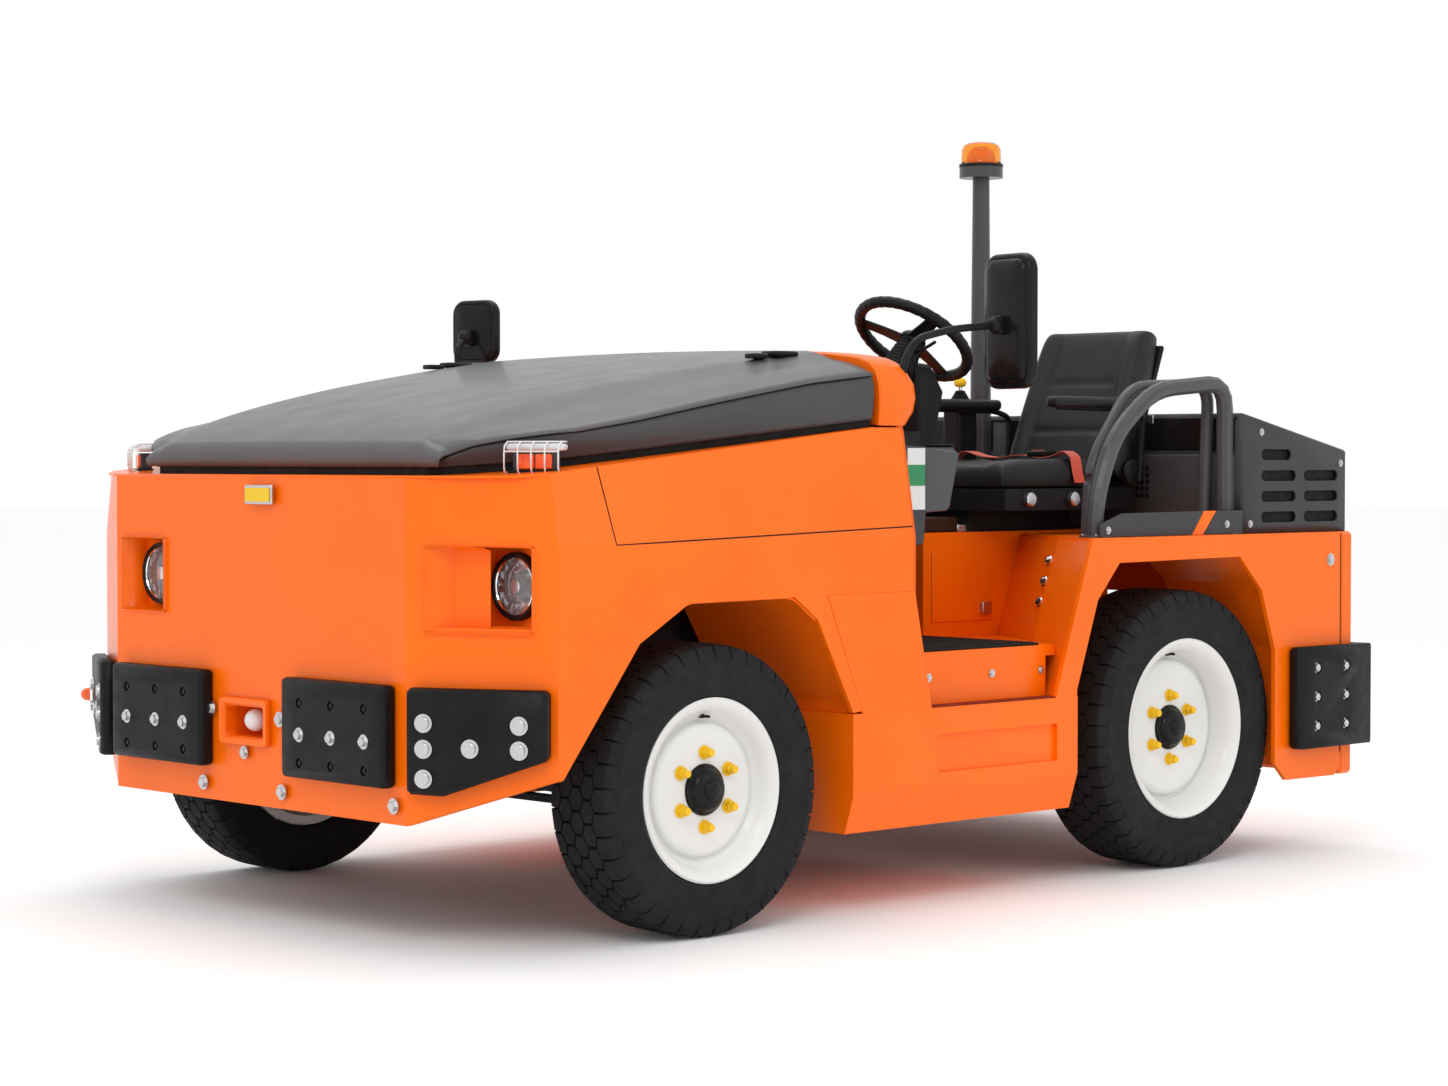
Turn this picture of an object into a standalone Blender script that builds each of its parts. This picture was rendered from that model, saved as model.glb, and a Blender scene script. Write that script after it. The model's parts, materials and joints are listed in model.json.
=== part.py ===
"""Airport baggage tug at full size, in metres.

+Z is up, the front faces -Y and the driver's left is +X. The origin is on the ground, under the middle of
the vehicle. The chassis, axles and wheels come first, then the front body and hood, the cab, the rear body
and the fittings.
"""

import math

import bmesh
import bpy
from mathutils import Matrix, Vector

# Clearances
GAP = 0.0003  # between pieces that are bolted or welded together
PIN_GAP = 0.0005  # between a pin or spindle and its bore
SWING_GAP = 0.006  # between a moving piece and the piece beside it

# Layout along the vehicle
WHEELBASE = 1.956
FRONT_OVERHANG = 0.730
REAR_OVERHANG = 0.784
FRONT_AXLE_Y = -(WHEELBASE + REAR_OVERHANG - FRONT_OVERHANG) / 2
REAR_AXLE_Y = FRONT_AXLE_Y + WHEELBASE
NOSE_Y = FRONT_AXLE_Y - FRONT_OVERHANG
TAIL_Y = REAR_AXLE_Y + REAR_OVERHANG

# Layout across the vehicle
BODY_X = 1.0  # half width over the side plates
NOSE_X = 0.647  # half width of the flat front facet
CHAMFER_DEPTH = 0.190  # how far the front corners are cut back
PLATE = 0.014

# Heights
NOSE_BOTTOM_Z = 0.316
CORNER_BOTTOM_Z = 0.440
SHOULDER_Z = 1.007
HOOD_SEAT_Z = 1.178
FLOOR_Z = 0.690
LEDGE_Z = 0.543
DECK_Z = 0.991
SIDE_LEAN = 0.158  # inward lean of the side plates above the shoulder, per metre of height

# Wheels and tyres
FRONT_TYRE_R = 0.375
FRONT_TYRE_WIDTH = 0.220
FRONT_FLANGE_R = 0.2377
REAR_TYRE_R = 0.4146
REAR_TYRE_WIDTH = 0.245
REAR_FLANGE_R = 0.2695
FRONT_TYRE_INSET = 0.021  # from the side plate to the tyre's outer face
REAR_TYRE_INSET = 0.038
FRONT_DISC_DEPTH = 0.021  # from the tyre's outer face to the wheel disc
REAR_DISC_DEPTH = 0.067
SPINDLE_R = 0.028
WHEEL_STEPS = 36

# Front axle
KINGPIN_INSET = 0.039  # from the front tyre's inner face to the kingpin
KINGPIN_R = 0.030
KNUCKLE_HALF_HEIGHT = 0.105
AXLE_LUG = 0.040
STEER_ARM = 0.120

# Chassis rails
RAIL_X = 0.350
RAIL_WIDTH = 0.100
RAIL_BOTTOM_Z = 0.500
RAIL_TOP_Z = 0.660
FLOOR_THICKNESS = 0.030

# Front body
ARCH_CLEARANCE = 0.110  # above the front tyre
REAR_ARCH_CLEARANCE = 0.095
FIREWALL_Y = FRONT_AXLE_Y + 0.715
HOOD_REAR_Y = FIREWALL_Y - 0.101
HOOD_FRONT_Y = NOSE_Y + 0.035
HOOD_EDGE_SLOPE = 0.104
HOOD_RISE = 0.347
HOOD_CREASE_RISE = 0.269
HOOD_THICKNESS = 0.006
HOOD_EDGE_X = 0.045  # hood side inside the body's half width
HOOP_DEPTH = 0.150
HOOP_THICKNESS = 0.030
TURN_LAMP_NOTCH_X = 0.170  # width of the hood's front corner notch, from the body's half width
TURN_LAMP_NOTCH_Y = 0.305  # from the nose to the notch's back wall

# Entry and lower side
STEP_FRONT_Y = FRONT_AXLE_Y + 0.483
STEP_REAR_Y = REAR_AXLE_Y - 0.555
STEP_CREASE_Z = 0.325
STEP_BOTTOM_Z = 0.2225
STEP_TUCK = 0.032
ENTRY_LEAN = 0.36  # rearward lean of the entry's rear wall, per metre of height
ENTRY_REAR_Y = REAR_AXLE_Y - 0.598  # at the floor, at the side plate

# Seat and controls
PEDESTAL_X = 0.490
PEDESTAL_TOP_Z = 1.000
PEDESTAL_FRONT_Y = REAR_AXLE_Y - 0.651
PEDESTAL_REAR_Y = REAR_AXLE_Y + 0.199
SEAT_X = 0.400
SEAT_WIDTH = 0.500
SEAT_FRONT_Y = REAR_AXLE_Y - 0.471
SEAT_DEPTH = 0.500
SEAT_BASE_HEIGHT = 0.130
CUSHION_HEIGHT = 0.085
BACK_WIDTH = 0.460
BACK_HEIGHT = 0.540
BACK_THICKNESS = 0.110
BACK_LEAN = math.radians(21)
STEERING_R = 0.175
STEERING_TUBE_R = 0.015
STEERING_TILT = math.radians(37.5)
STEERING_CENTRE = Vector((SEAT_X, SEAT_FRONT_Y - 0.127, 1.573))

# Rear body
REAR_PLATE = 0.065
BOX_FRONT_Y = REAR_AXLE_Y + 0.244
BOX_FRONT_Z = 1.359
BOX_REAR_Z = 1.245
BOX_X = 0.975
BOX_WALL = 0.006
RAIL_TUBE_R = 0.025
HANDRAIL_INSET = 0.065

# Fittings
PAD_THICKNESS = 0.045
LAMP_R = 0.085
HITCH_X = 0.100
HITCH_Z = 0.480
HITCH_PIN_R = 0.016

COLOURS = {
    "orange": ((0.90, 0.20, 0.01), 0.35, 0.0),
    "hood_grey": ((0.06, 0.06, 0.065), 0.55, 0.0),
    "black": ((0.012, 0.012, 0.012), 0.45, 0.0),
    "rubber": ((0.02, 0.02, 0.02), 0.8, 0.0),
    "white": ((0.8, 0.8, 0.8), 0.3, 0.0),
    "steel": ((0.5, 0.5, 0.5), 0.35, 1.0),
    "iron": ((0.05, 0.05, 0.05), 0.6, 0.4),
    "vinyl": ((0.015, 0.015, 0.017), 0.4, 0.0),
    "amber": ((0.9, 0.25, 0.02), 0.15, 0.0),
    "glass": ((0.8, 0.8, 0.8), 0.05, 0.0),
}

parts = bpy.data.collections.new("baggage_tug")
tools = bpy.data.collections.new("cutters")


def clear_scene():
    for obj in list(bpy.data.objects):
        bpy.data.objects.remove(obj, do_unlink=True)
    for collection in (parts, tools):
        bpy.context.scene.collection.children.link(collection)


def material(obj, colour):
    """Gives the object its own Principled material in one of the vehicle's colours."""
    rgb, roughness, metallic = COLOURS[colour]
    new = bpy.data.materials.new(obj.name)
    new.use_nodes = True
    shader = new.node_tree.nodes["Principled BSDF"]
    shader.inputs["Base Color"].default_value = (*rgb, 1)
    shader.inputs["Roughness"].default_value = roughness
    shader.inputs["Metallic"].default_value = metallic
    obj.data.materials.clear()
    obj.data.materials.append(new)


def tool(obj):
    """Turns an object into a helper that cuts or is joined to another."""
    parts.objects.unlink(obj)
    tools.objects.link(obj)
    obj.hide_render = True
    obj.display_type = "WIRE"
    return obj


def boolean(obj, other, operation):
    modifier = obj.modifiers.new(other.name, "BOOLEAN")
    modifier.operation = operation
    modifier.solver = "EXACT"
    modifier.object = tool(other)
    return obj


def cut(obj, *cutters):
    for cutter in cutters:
        boolean(obj, cutter, "DIFFERENCE")
    return obj


def join(obj, *others):
    for other in others:
        boolean(obj, other, "UNION")
    return obj


def bevel(obj, width, segments=1, angle=40):
    modifier = obj.modifiers.new("rounded", "BEVEL")
    modifier.width = width
    modifier.segments = segments
    modifier.limit_method = "ANGLE"
    modifier.angle_limit = math.radians(angle)
    return obj


def from_bmesh(name, shape, colour, location=(0, 0, 0), rotation=(0, 0, 0)):
    mesh = bpy.data.meshes.new(name)
    shape.to_mesh(mesh)
    shape.free()
    obj = bpy.data.objects.new(name, mesh)
    obj.location = location
    obj.rotation_euler = rotation
    parts.objects.link(obj)
    material(obj, colour)
    return obj


def block(name, low, high, colour="orange", rotation=(0, 0, 0)):
    """A box between two corners, which may be turned about its middle."""
    low = Vector(low)
    high = Vector(high)
    shape = bmesh.new()
    bmesh.ops.create_cube(shape, size=1, matrix=Matrix.Diagonal((*(high - low), 1)))
    return from_bmesh(name, shape, colour, (low + high) / 2, rotation)


def cylinder(name, centre, radius, length, axis="Z", colour="steel", sides=24, top=None):
    """A cylinder, or a cone frustum with another top radius, about its middle."""
    shape = bmesh.new()
    bmesh.ops.create_cone(
        shape,
        cap_ends=True,
        segments=sides,
        radius1=radius,
        radius2=radius if top is None else top,
        depth=length,
    )
    turn = {"X": (0, math.pi / 2, 0), "Y": (-math.pi / 2, 0, 0), "Z": (0, 0, 0)}[axis]
    return from_bmesh(name, shape, colour, centre, turn)


def mesh_of_curve(curve, name):
    """The closed mesh that a curve object evaluates to. The curve is removed."""
    parts.objects.link(curve)
    graph = bpy.context.evaluated_depsgraph_get()
    mesh = bpy.data.meshes.new_from_object(curve.evaluated_get(graph))
    mesh.name = name
    shape = bmesh.new()
    shape.from_mesh(mesh)
    bmesh.ops.remove_doubles(shape, verts=shape.verts, dist=0.00001)
    shape.to_mesh(mesh)
    shape.free()
    bpy.data.objects.remove(curve, do_unlink=True)
    return mesh


def extruded(name, outline, axis, low, high, colour="orange"):
    """A flat outline with a thickness. It is drawn in (y, z), (x, z) or (x, y) for the axis X, Y or Z."""
    curve = bpy.data.curves.new(name, "CURVE")
    curve.dimensions = "2D"
    curve.fill_mode = "BOTH"
    curve.extrude = (high - low) / 2
    spline = curve.splines.new("POLY")
    spline.points.add(len(outline) - 1)
    for point, (u, v) in zip(spline.points, outline):
        point.co = (u, v, 0, 1)
    spline.use_cyclic_u = True
    mesh = mesh_of_curve(bpy.data.objects.new(name, curve), name)
    obj = bpy.data.objects.new(name, mesh)
    middle = (low + high) / 2
    half_turn = math.pi / 2
    if axis == "X":
        obj.location.x = middle
        obj.rotation_euler = (half_turn, 0, half_turn)
    elif axis == "Y":
        obj.location.y = middle
        obj.rotation_euler = (half_turn, 0, 0)
    else:
        obj.location.z = middle
    parts.objects.link(obj)
    material(obj, colour)
    return obj


def turned(name, profile, colour, location=(0, 0, 0), rotation=(0, 0, 0), closed=True, steps=WHEEL_STEPS):
    """A shape turned about its own Z axis from (radius, height) points, which run down the outer side."""
    mesh = bpy.data.meshes.new(name)
    last = len(profile) - 1
    edges = [(i, i + 1) for i in range(last)]
    if closed:
        edges.append((last, 0))
    mesh.from_pydata([(r, 0, z) for r, z in profile], edges, [])
    obj = bpy.data.objects.new(name, mesh)
    obj.location = location
    obj.rotation_euler = rotation
    parts.objects.link(obj)
    material(obj, colour)
    screw = obj.modifiers.new("turned", "SCREW")
    screw.steps = steps
    screw.render_steps = steps
    screw.use_merge_vertices = True
    screw.merge_threshold = 0.0001
    return obj


def tube(name, points, radius, colour="iron", resolution=3, as_mesh=False):
    """A round bar along points. It is a curve, or a welded mesh where something is joined to it."""
    curve = bpy.data.curves.new(name, "CURVE")
    curve.dimensions = "3D"
    curve.bevel_depth = radius
    curve.bevel_resolution = resolution
    curve.use_fill_caps = True
    spline = curve.splines.new("POLY")
    spline.points.add(len(points) - 1)
    for point, place in zip(spline.points, points):
        point.co = (*place, 1)
    obj = bpy.data.objects.new(name, curve)
    if as_mesh:
        obj = bpy.data.objects.new(name, mesh_of_curve(obj, name))
    parts.objects.link(obj)
    material(obj, colour)
    return obj


def lofted(name, rings, colour):
    """A closed body through rings of points, each with as many points as the first."""
    shape = bmesh.new()
    rings = [[shape.verts.new(place) for place in ring] for ring in rings]
    for ring, following in zip(rings, rings[1:]):
        for i, vert in enumerate(ring):
            k = (i + 1) % len(ring)
            shape.faces.new((vert, ring[k], following[k], following[i]))
    shape.faces.new(rings[0])
    shape.faces.new(rings[-1])
    bmesh.ops.recalc_face_normals(shape, faces=shape.faces)
    return from_bmesh(name, shape, colour)


def smooth_route(corners, radius, steps=4):
    """The corners of a bent tube with each inner corner rounded by an arc's worth of points."""
    corners = [Vector(corner) for corner in corners]
    route = [corners[0]]
    for before, corner, after in zip(corners, corners[1:], corners[2:]):
        start = corner + (before - corner).normalized() * radius
        end = corner + (after - corner).normalized() * radius
        for i in range(steps + 1):
            t = i / steps
            route.append(start * (1 - t) ** 2 + corner * 2 * t * (1 - t) + end * t**2)
    route.append(corners[-1])
    return route


def hood_edge_z(y):
    """Height of the hood's lower edge and of the body's top edge under it."""
    return HOOD_SEAT_Z + HOOD_EDGE_SLOPE * max(0.0, y - NOSE_Y - 0.135)


def lean_in(obj):
    """Leans a side plate inward above the shoulder."""
    shape = bmesh.new()
    shape.from_mesh(obj.data)
    world = obj.matrix_basis
    back = world.inverted()
    flat = (0, 0, 1)
    plane = back @ Vector((0, 0, SHOULDER_Z))
    normal = (back.to_3x3() @ Vector(flat)).normalized()
    everything = shape.verts[:] + shape.edges[:] + shape.faces[:]
    bmesh.ops.bisect_plane(shape, geom=everything, plane_co=plane, plane_no=normal)
    for vert in shape.verts:
        place = world @ vert.co
        height = place.z - SHOULDER_Z
        if height > 0 and abs(place.x) > BODY_X - 2 * PLATE:
            place.x -= math.copysign(SIDE_LEAN * height, place.x)
            vert.co = back @ place
    shape.to_mesh(obj.data)
    shape.free()
    return obj


# Chassis and running gear


def chassis():
    low_y = NOSE_Y + PLATE + GAP
    high_y = TAIL_Y - REAR_PLATE - GAP
    left, right = (
        block(
            f"rail_{side:+d}",
            (side * RAIL_X - RAIL_WIDTH / 2, low_y, RAIL_BOTTOM_Z),
            (side * RAIL_X + RAIL_WIDTH / 2, high_y, RAIL_TOP_Z - GAP),
            "iron",
        )
        for side in (1, -1)
    )
    left.name = "chassis_frame"
    join(left, right)
    member_half = 0.040
    places = (NOSE_Y + 0.20, FIREWALL_Y, REAR_AXLE_Y - 0.45, REAR_AXLE_Y + 0.46)
    for number, y in enumerate(places):
        low = (-RAIL_X, y - member_half, RAIL_BOTTOM_Z + 0.01)
        high = (RAIL_X, y + member_half, RAIL_TOP_Z - 0.02)
        join(left, block(f"member_{number}", low, high, "iron"))
    return left


def rim_and_tyre(name, side, axle_y, radius, width, flange_r, inset, disc_depth):
    """A disc wheel and its tyre. Local +Z of both points outwards."""
    outer_x = BODY_X - inset
    centre = (side * (outer_x - width / 2), axle_y, radius)
    turn = (0, side * math.pi / 2, 0)
    half = width / 2
    flange = half - 0.005
    seat = flange - 0.012
    barrel_r = flange_r - 0.016
    inner_r = barrel_r - 0.014
    disc = half - disc_depth
    hub_r = 0.060
    cap = disc + 0.045
    bore = SPINDLE_R + PIN_GAP
    hub_back = -half + 0.030
    bore_end = disc - 0.010
    rim_profile = [
        (0, cap),
        (hub_r * 0.8, cap),
        (hub_r, cap - 0.012),
        (hub_r, disc),
        (inner_r - 0.030, disc - 0.004),
        (inner_r, disc + 0.012),
        (inner_r, flange),
        (flange_r, flange),
        (flange_r, seat),
        (barrel_r, seat),
        (barrel_r, -seat),
        (flange_r, -seat),
        (flange_r, -flange),
        (inner_r, -flange),
        (inner_r, disc - 0.002),
        (inner_r - 0.030, disc - 0.016),
        (hub_r, disc - 0.012),
        (hub_r, hub_back),
        (bore, hub_back),
        (bore, bore_end),
        (0, bore_end),
    ]
    turned(f"rim_{name}", rim_profile, "white", centre, turn, closed=False)
    tyre_profile = [
        (barrel_r + GAP, seat - GAP),
        (flange_r + 0.004, seat - GAP),
        (flange_r + 0.006, half - 0.014),
        (flange_r + 0.030, half - 0.003),
        ((flange_r + radius) / 2, half),
        (radius - 0.030, half - 0.004),
        (radius - 0.008, half - 0.018),
        (radius, half - 0.045),
        (radius, 0),
    ]
    mirrored = [(r, -z) for r, z in reversed(tyre_profile[:-1])]
    turned(f"tyre_{name}", tyre_profile + mirrored, "rubber", centre, turn)


def kingpin_x():
    return BODY_X - FRONT_TYRE_INSET - FRONT_TYRE_WIDTH - KINGPIN_INSET


def front_axle():
    y = FRONT_AXLE_Y
    z = FRONT_TYRE_R
    pin_x = kingpin_x()
    post_x = pin_x - KINGPIN_R - SWING_GAP - 0.030
    beam = block("front_axle", (-post_x, y - 0.045, z - 0.045), (post_x, y + 0.045, z + 0.045), "iron")
    lug_low = KNUCKLE_HALF_HEIGHT + PIN_GAP
    lug_high = lug_low + AXLE_LUG
    for side in (1, -1):
        low = (min(side * post_x, side * (post_x - 0.035)), y - 0.030, z - lug_high)
        high = (max(side * post_x, side * (post_x - 0.035)), y + 0.030, z + lug_high)
        join(beam, block(f"yoke_{side:+d}", low, high, "iron"))
        for level in (1, -1):
            middle = z + level * (lug_low + lug_high) / 2
            arm_low = (min(side * (post_x - 0.01), side * pin_x), y - 0.030, middle - AXLE_LUG / 2)
            arm_high = (max(side * (post_x - 0.01), side * pin_x), y + 0.030, middle + AXLE_LUG / 2)
            join(beam, block(f"lug_{side:+d}{level:+d}", arm_low, arm_high, "iron"))
            eye = cylinder(f"eye_{side:+d}{level:+d}", (side * pin_x, y, middle), 0.030, AXLE_LUG, sides=20)
            join(beam, eye)
        pad_low = (side * RAIL_X - 0.045, y - 0.045, z)
        pad_high = (side * RAIL_X + 0.045, y + 0.045, RAIL_BOTTOM_Z - GAP)
        join(beam, block(f"spring_pad_{side:+d}", pad_low, pad_high, "iron"))
    return beam


def knuckle(name, side):
    """The steering knuckle: a barrel on the kingpin, the wheel spindle and the steering arm."""
    pin = Vector((side * kingpin_x(), FRONT_AXLE_Y, FRONT_TYRE_R))
    barrel = cylinder(f"knuckle_{name}", pin, KINGPIN_R, 2 * KNUCKLE_HALF_HEIGHT, colour="iron")
    tip_x = BODY_X - FRONT_TYRE_INSET - FRONT_DISC_DEPTH - 0.010 - PIN_GAP
    length = tip_x - abs(pin.x)
    spindle_centre = pin + Vector((side * length / 2, 0, 0))
    join(barrel, cylinder(f"spindle_{name}", spindle_centre, SPINDLE_R, length, "X"))
    arm_z = FRONT_TYRE_R - 0.080
    low = pin + Vector((-0.020, 0, 0))
    high = pin + Vector((0.020, STEER_ARM + 0.020, 0))
    low.z = arm_z
    high.z = arm_z + 0.020
    join(barrel, block(f"steer_arm_{name}", low, high, "iron"))
    return barrel


def tie_rod():
    """The bar under the two steering arms. Its flat ends lie under them."""
    y = FRONT_AXLE_Y + STEER_ARM
    top = FRONT_TYRE_R - 0.080 - PIN_GAP
    thickness = 0.022
    end_x = kingpin_x()
    rod = block("tie_rod", (-end_x, y - 0.014, top - thickness), (end_x, y + 0.014, top), "iron")
    return bevel(rod, 0.004)


def rear_axle():
    y = REAR_AXLE_Y
    z = REAR_TYRE_R
    end_x = BODY_X - REAR_TYRE_INSET - REAR_TYRE_WIDTH - 0.017
    tube_r = 0.060
    axle = cylinder("rear_axle", (0, y, z), tube_r, 2 * end_x, "X", "iron")
    join(axle, cylinder("differential", (0, y, z), 0.150, 0.240, "X", "iron", top=0.130))
    tip_x = BODY_X - REAR_TYRE_INSET - REAR_DISC_DEPTH - 0.010 - PIN_GAP
    join(axle, cylinder("rear_spindles", (0, y, z), SPINDLE_R, 2 * tip_x, "X", "iron"))
    for side in (1, -1):
        low = (side * RAIL_X - 0.045, y - 0.060, z)
        high = (side * RAIL_X + 0.045, y + 0.060, RAIL_BOTTOM_Z - GAP)
        join(axle, block(f"rear_spring_pad_{side:+d}", low, high, "iron"))
    return axle


def engine():
    low = (-RAIL_X - 0.02, FRONT_AXLE_Y - 0.20, RAIL_TOP_Z)
    high = (RAIL_X + 0.02, FRONT_AXLE_Y + 0.55, RAIL_TOP_Z + 0.49)
    return block("engine_block", low, high, "iron")


# Front body


def chamfer_point(x, offset=0.0):
    """A point (x, y) of the left front corner facet, moved outwards by offset along its normal."""
    run = Vector((BODY_X - NOSE_X, CHAMFER_DEPTH))
    share = (x - NOSE_X) / run.x
    normal = Vector((run.y, -run.x)).normalized()
    return Vector((x, NOSE_Y + share * run.y)) + normal * offset


def chamfer_angle():
    return math.atan2(CHAMFER_DEPTH, BODY_X - NOSE_X)


def front_arch():
    """The front wheel opening's (y, z) outline, from its front end to its rear end."""
    top = 2 * FRONT_TYRE_R + ARCH_CLEARANCE
    y = FRONT_AXLE_Y
    reach = FRONT_TYRE_R + ARCH_CLEARANCE
    return [
        (y - reach - 0.040, CORNER_BOTTOM_Z),
        (y - 0.276, top - 0.099),
        (y - 0.107, top - 0.003),
        (y + 0.265, top),
        (y + 0.350, top - 0.062),
        (y + reach - 0.002, LEDGE_Z + 0.005),
    ]


def nose_body():
    """Front facets and side plates in one bent plate, with the wheel openings and lamp pockets cut."""
    corner_y = NOSE_Y + CHAMFER_DEPTH
    inner = PLATE * math.tan(chamfer_angle() / 2)
    half = [
        (BODY_X, FIREWALL_Y),
        (BODY_X, corner_y),
        (NOSE_X, NOSE_Y),
    ]
    inside = [
        (NOSE_X - inner, NOSE_Y + PLATE),
        (BODY_X - PLATE, corner_y + PLATE * math.tan((math.pi / 2 - chamfer_angle()) / 2)),
        (BODY_X - PLATE, FIREWALL_Y),
    ]
    outline = half + [(-x, y) for x, y in reversed(half)]
    outline += [(-x, y) for x, y in reversed(inside)] + inside
    body = extruded("nose_body", outline, "Z", STEP_BOTTOM_Z, hood_edge_z(FIREWALL_Y))
    lean_in(body)
    lamp_pockets(body)
    tow_pocket(body)
    far = BODY_X + 0.2
    slope = (CORNER_BOTTOM_Z - NOSE_BOTTOM_Z) / (BODY_X - NOSE_X)
    under = [(-NOSE_X, NOSE_BOTTOM_Z), (NOSE_X, NOSE_BOTTOM_Z)]
    tip_z = NOSE_BOTTOM_Z + slope * (far - NOSE_X)
    under += [(far, tip_z), (far, 0), (-far, 0), (-far, tip_z)]
    arch = front_arch()
    cut(body, extruded("nose_underside", under, "Y", NOSE_Y - 0.1, arch[0][0] + 0.05))
    seam_z = 2 * FRONT_TYRE_R + ARCH_CLEARANCE + 0.0025
    lower = [(arch[0][0], 0)] + arch
    lower += [(FRONT_AXLE_Y + 0.516, LEDGE_Z + 0.007), (FRONT_AXLE_Y + 0.384, seam_z)]
    lower += [(FIREWALL_Y + 0.05, seam_z), (FIREWALL_Y + 0.05, 0)]
    cut(body, extruded("side_openings", lower, "X", -far, far))
    slope_start = NOSE_Y + 0.135
    slope_end = FIREWALL_Y - 0.105
    low_z = HOOD_SEAT_Z - 2 * GAP
    high_z = hood_edge_z(slope_end) - 2 * GAP
    top = [(NOSE_Y - 0.1, low_z), (slope_start, low_z), (slope_end, high_z)]
    top += [(FIREWALL_Y + 0.1, high_z), (FIREWALL_Y + 0.1, 2), (NOSE_Y - 0.1, 2)]
    return cut(body, extruded("hood_line", top, "X", -far, far))


def lamp_places():
    """Each headlamp's front centre (x, y, z): the left one in the corner facet, the right one in the front."""
    z = 0.906
    left = chamfer_point(BODY_X - 0.115)
    return {
        "L": Vector((left.x - 0.051, left.y + 0.066, z)),
        "R": Vector((-NOSE_X + 0.137, NOSE_Y + 0.055, z)),
    }


def lamp_pockets(body):
    """A shallow pocket along each facet, with a deeper one at its inner end that faces forwards."""
    wall = 0.008
    depth = 0.055
    half_height = 0.100
    left = chamfer_point((NOSE_X + BODY_X) / 2 - 0.005)
    right = Vector((-NOSE_X + 0.128, NOSE_Y))
    cases = []
    pockets = []
    for name, middle, half_width, angle in (
        ("L", left, 0.143, chamfer_angle()),
        ("R", right, 0.098, 0.0),
    ):
        lamp = lamp_places()[name]
        back = Matrix.Rotation(angle, 3, "Z") @ Vector((0, depth / 2, 0))
        size = Vector((half_width + wall, depth / 2 + wall / 2, half_height + wall))
        centre = Vector((middle.x, middle.y, lamp.z)) + back * (1 + (wall + PLATE) / depth)
        cases.append(block(f"lamp_case_{name}", centre - size, centre + size, rotation=(0, 0, angle)))
        hole = Vector((half_width, depth / 2 + 0.05, half_height))
        mouth = Vector((middle.x, middle.y, lamp.z)) + back * (1 - 0.1 / depth)
        pockets.append(block(f"lamp_pocket_{name}", mouth - hole, mouth + hole, rotation=(0, 0, angle)))
        reach = LAMP_R + 0.008
        inner_x = middle.x + half_width * math.cos(angle)
        low = Vector((lamp.x - reach, chamfer_point(inner_x).y - 0.05, lamp.z - half_height + 0.002))
        high = Vector((inner_x - 0.002, lamp.y + 0.035, lamp.z + half_height - 0.002))
        if angle == 0:
            low.y = NOSE_Y - 0.05
        pockets.append(block(f"lamp_well_{name}", low, high))
        grown = Vector((wall, wall, wall))
        low.y = high.y - 0.060
        cases.append(block(f"lamp_well_case_{name}", low - Vector((wall, 0, wall)), high + grown))
    join(body, *cases)
    cut(body, *pockets)
    for name, lamp in lamp_places().items():
        seat = lamp + Vector((0, 0.080, 0))
        cut(body, cylinder(f"lamp_hole_{name}", seat, LAMP_R - 0.010, 0.200, "Y", sides=32))


def tow_pocket(body):
    """The front towing pocket: a raised rim round a box-shaped recess."""
    x = -0.025
    z = 0.533
    outer = Vector((0.102, 0.060, 0.055))
    inner = Vector((0.086, 0.080, 0.040))
    centre = Vector((x, NOSE_Y + 0.050, z))
    join(body, block("tow_case", centre - outer, centre + outer))
    mouth = Vector((x, NOSE_Y + 0.020, z))
    cut(body, block("tow_mouth", mouth - inner, mouth + inner))


def quarter_and_wheelhouse(name, side):
    """The lower plate ahead of the entry, with the liner over the front wheel."""
    seam_z = 2 * FRONT_TYRE_R + ARCH_CLEARANCE + 0.002
    outline = [
        (FRONT_AXLE_Y + 0.387, seam_z),
        (FIREWALL_Y + 0.006, seam_z),
        (FIREWALL_Y + 0.074, LEDGE_Z + GAP),
        (FRONT_AXLE_Y + 0.520, LEDGE_Z + GAP),
    ]
    low, high = sorted((side * (BODY_X - PLATE), side * BODY_X))
    panel = extruded(f"quarter_panel_{name}", outline, "X", low, high)
    gauge = 0.008
    liner_top = 0.020
    line = [(y, z + liner_top) for y, z in front_arch()[1:-1]]
    line = [(line[0][0] - 0.160, line[0][1] - 0.190)] + line
    line += [(FRONT_AXLE_Y + 0.500, LEDGE_Z + 0.030), (FRONT_AXLE_Y + 0.500, LEDGE_Z + GAP)]
    upper = [(y + 0.2 * gauge, z + gauge) for y, z in line[:-2]]
    upper += [(line[-1][0] + gauge, line[-2][1] + 0.02), (line[-1][0] + gauge, LEDGE_Z + GAP)]
    low, high = sorted((side * 0.480, side * (BODY_X - PLATE - GAP)))
    liner = extruded(f"front_liner_{name}", line + upper[::-1], "X", low, high)
    inside_x = BODY_X - PLATE - GAP
    y = FRONT_AXLE_Y + 0.502
    tab = [
        (BODY_X - 0.050, y),
        (inside_x, y),
        (inside_x, y + 0.024),
        (BODY_X - PLATE / 2, y + 0.024),
        (BODY_X - PLATE / 2, y + 0.060),
        (BODY_X - 0.050, y + 0.060),
    ]
    tab = [(side * x, y) for x, y in tab]
    return join(panel, liner, extruded(f"liner_tab_{name}", tab, "Z", LEDGE_Z + GAP, LEDGE_Z + 0.012))


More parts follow.
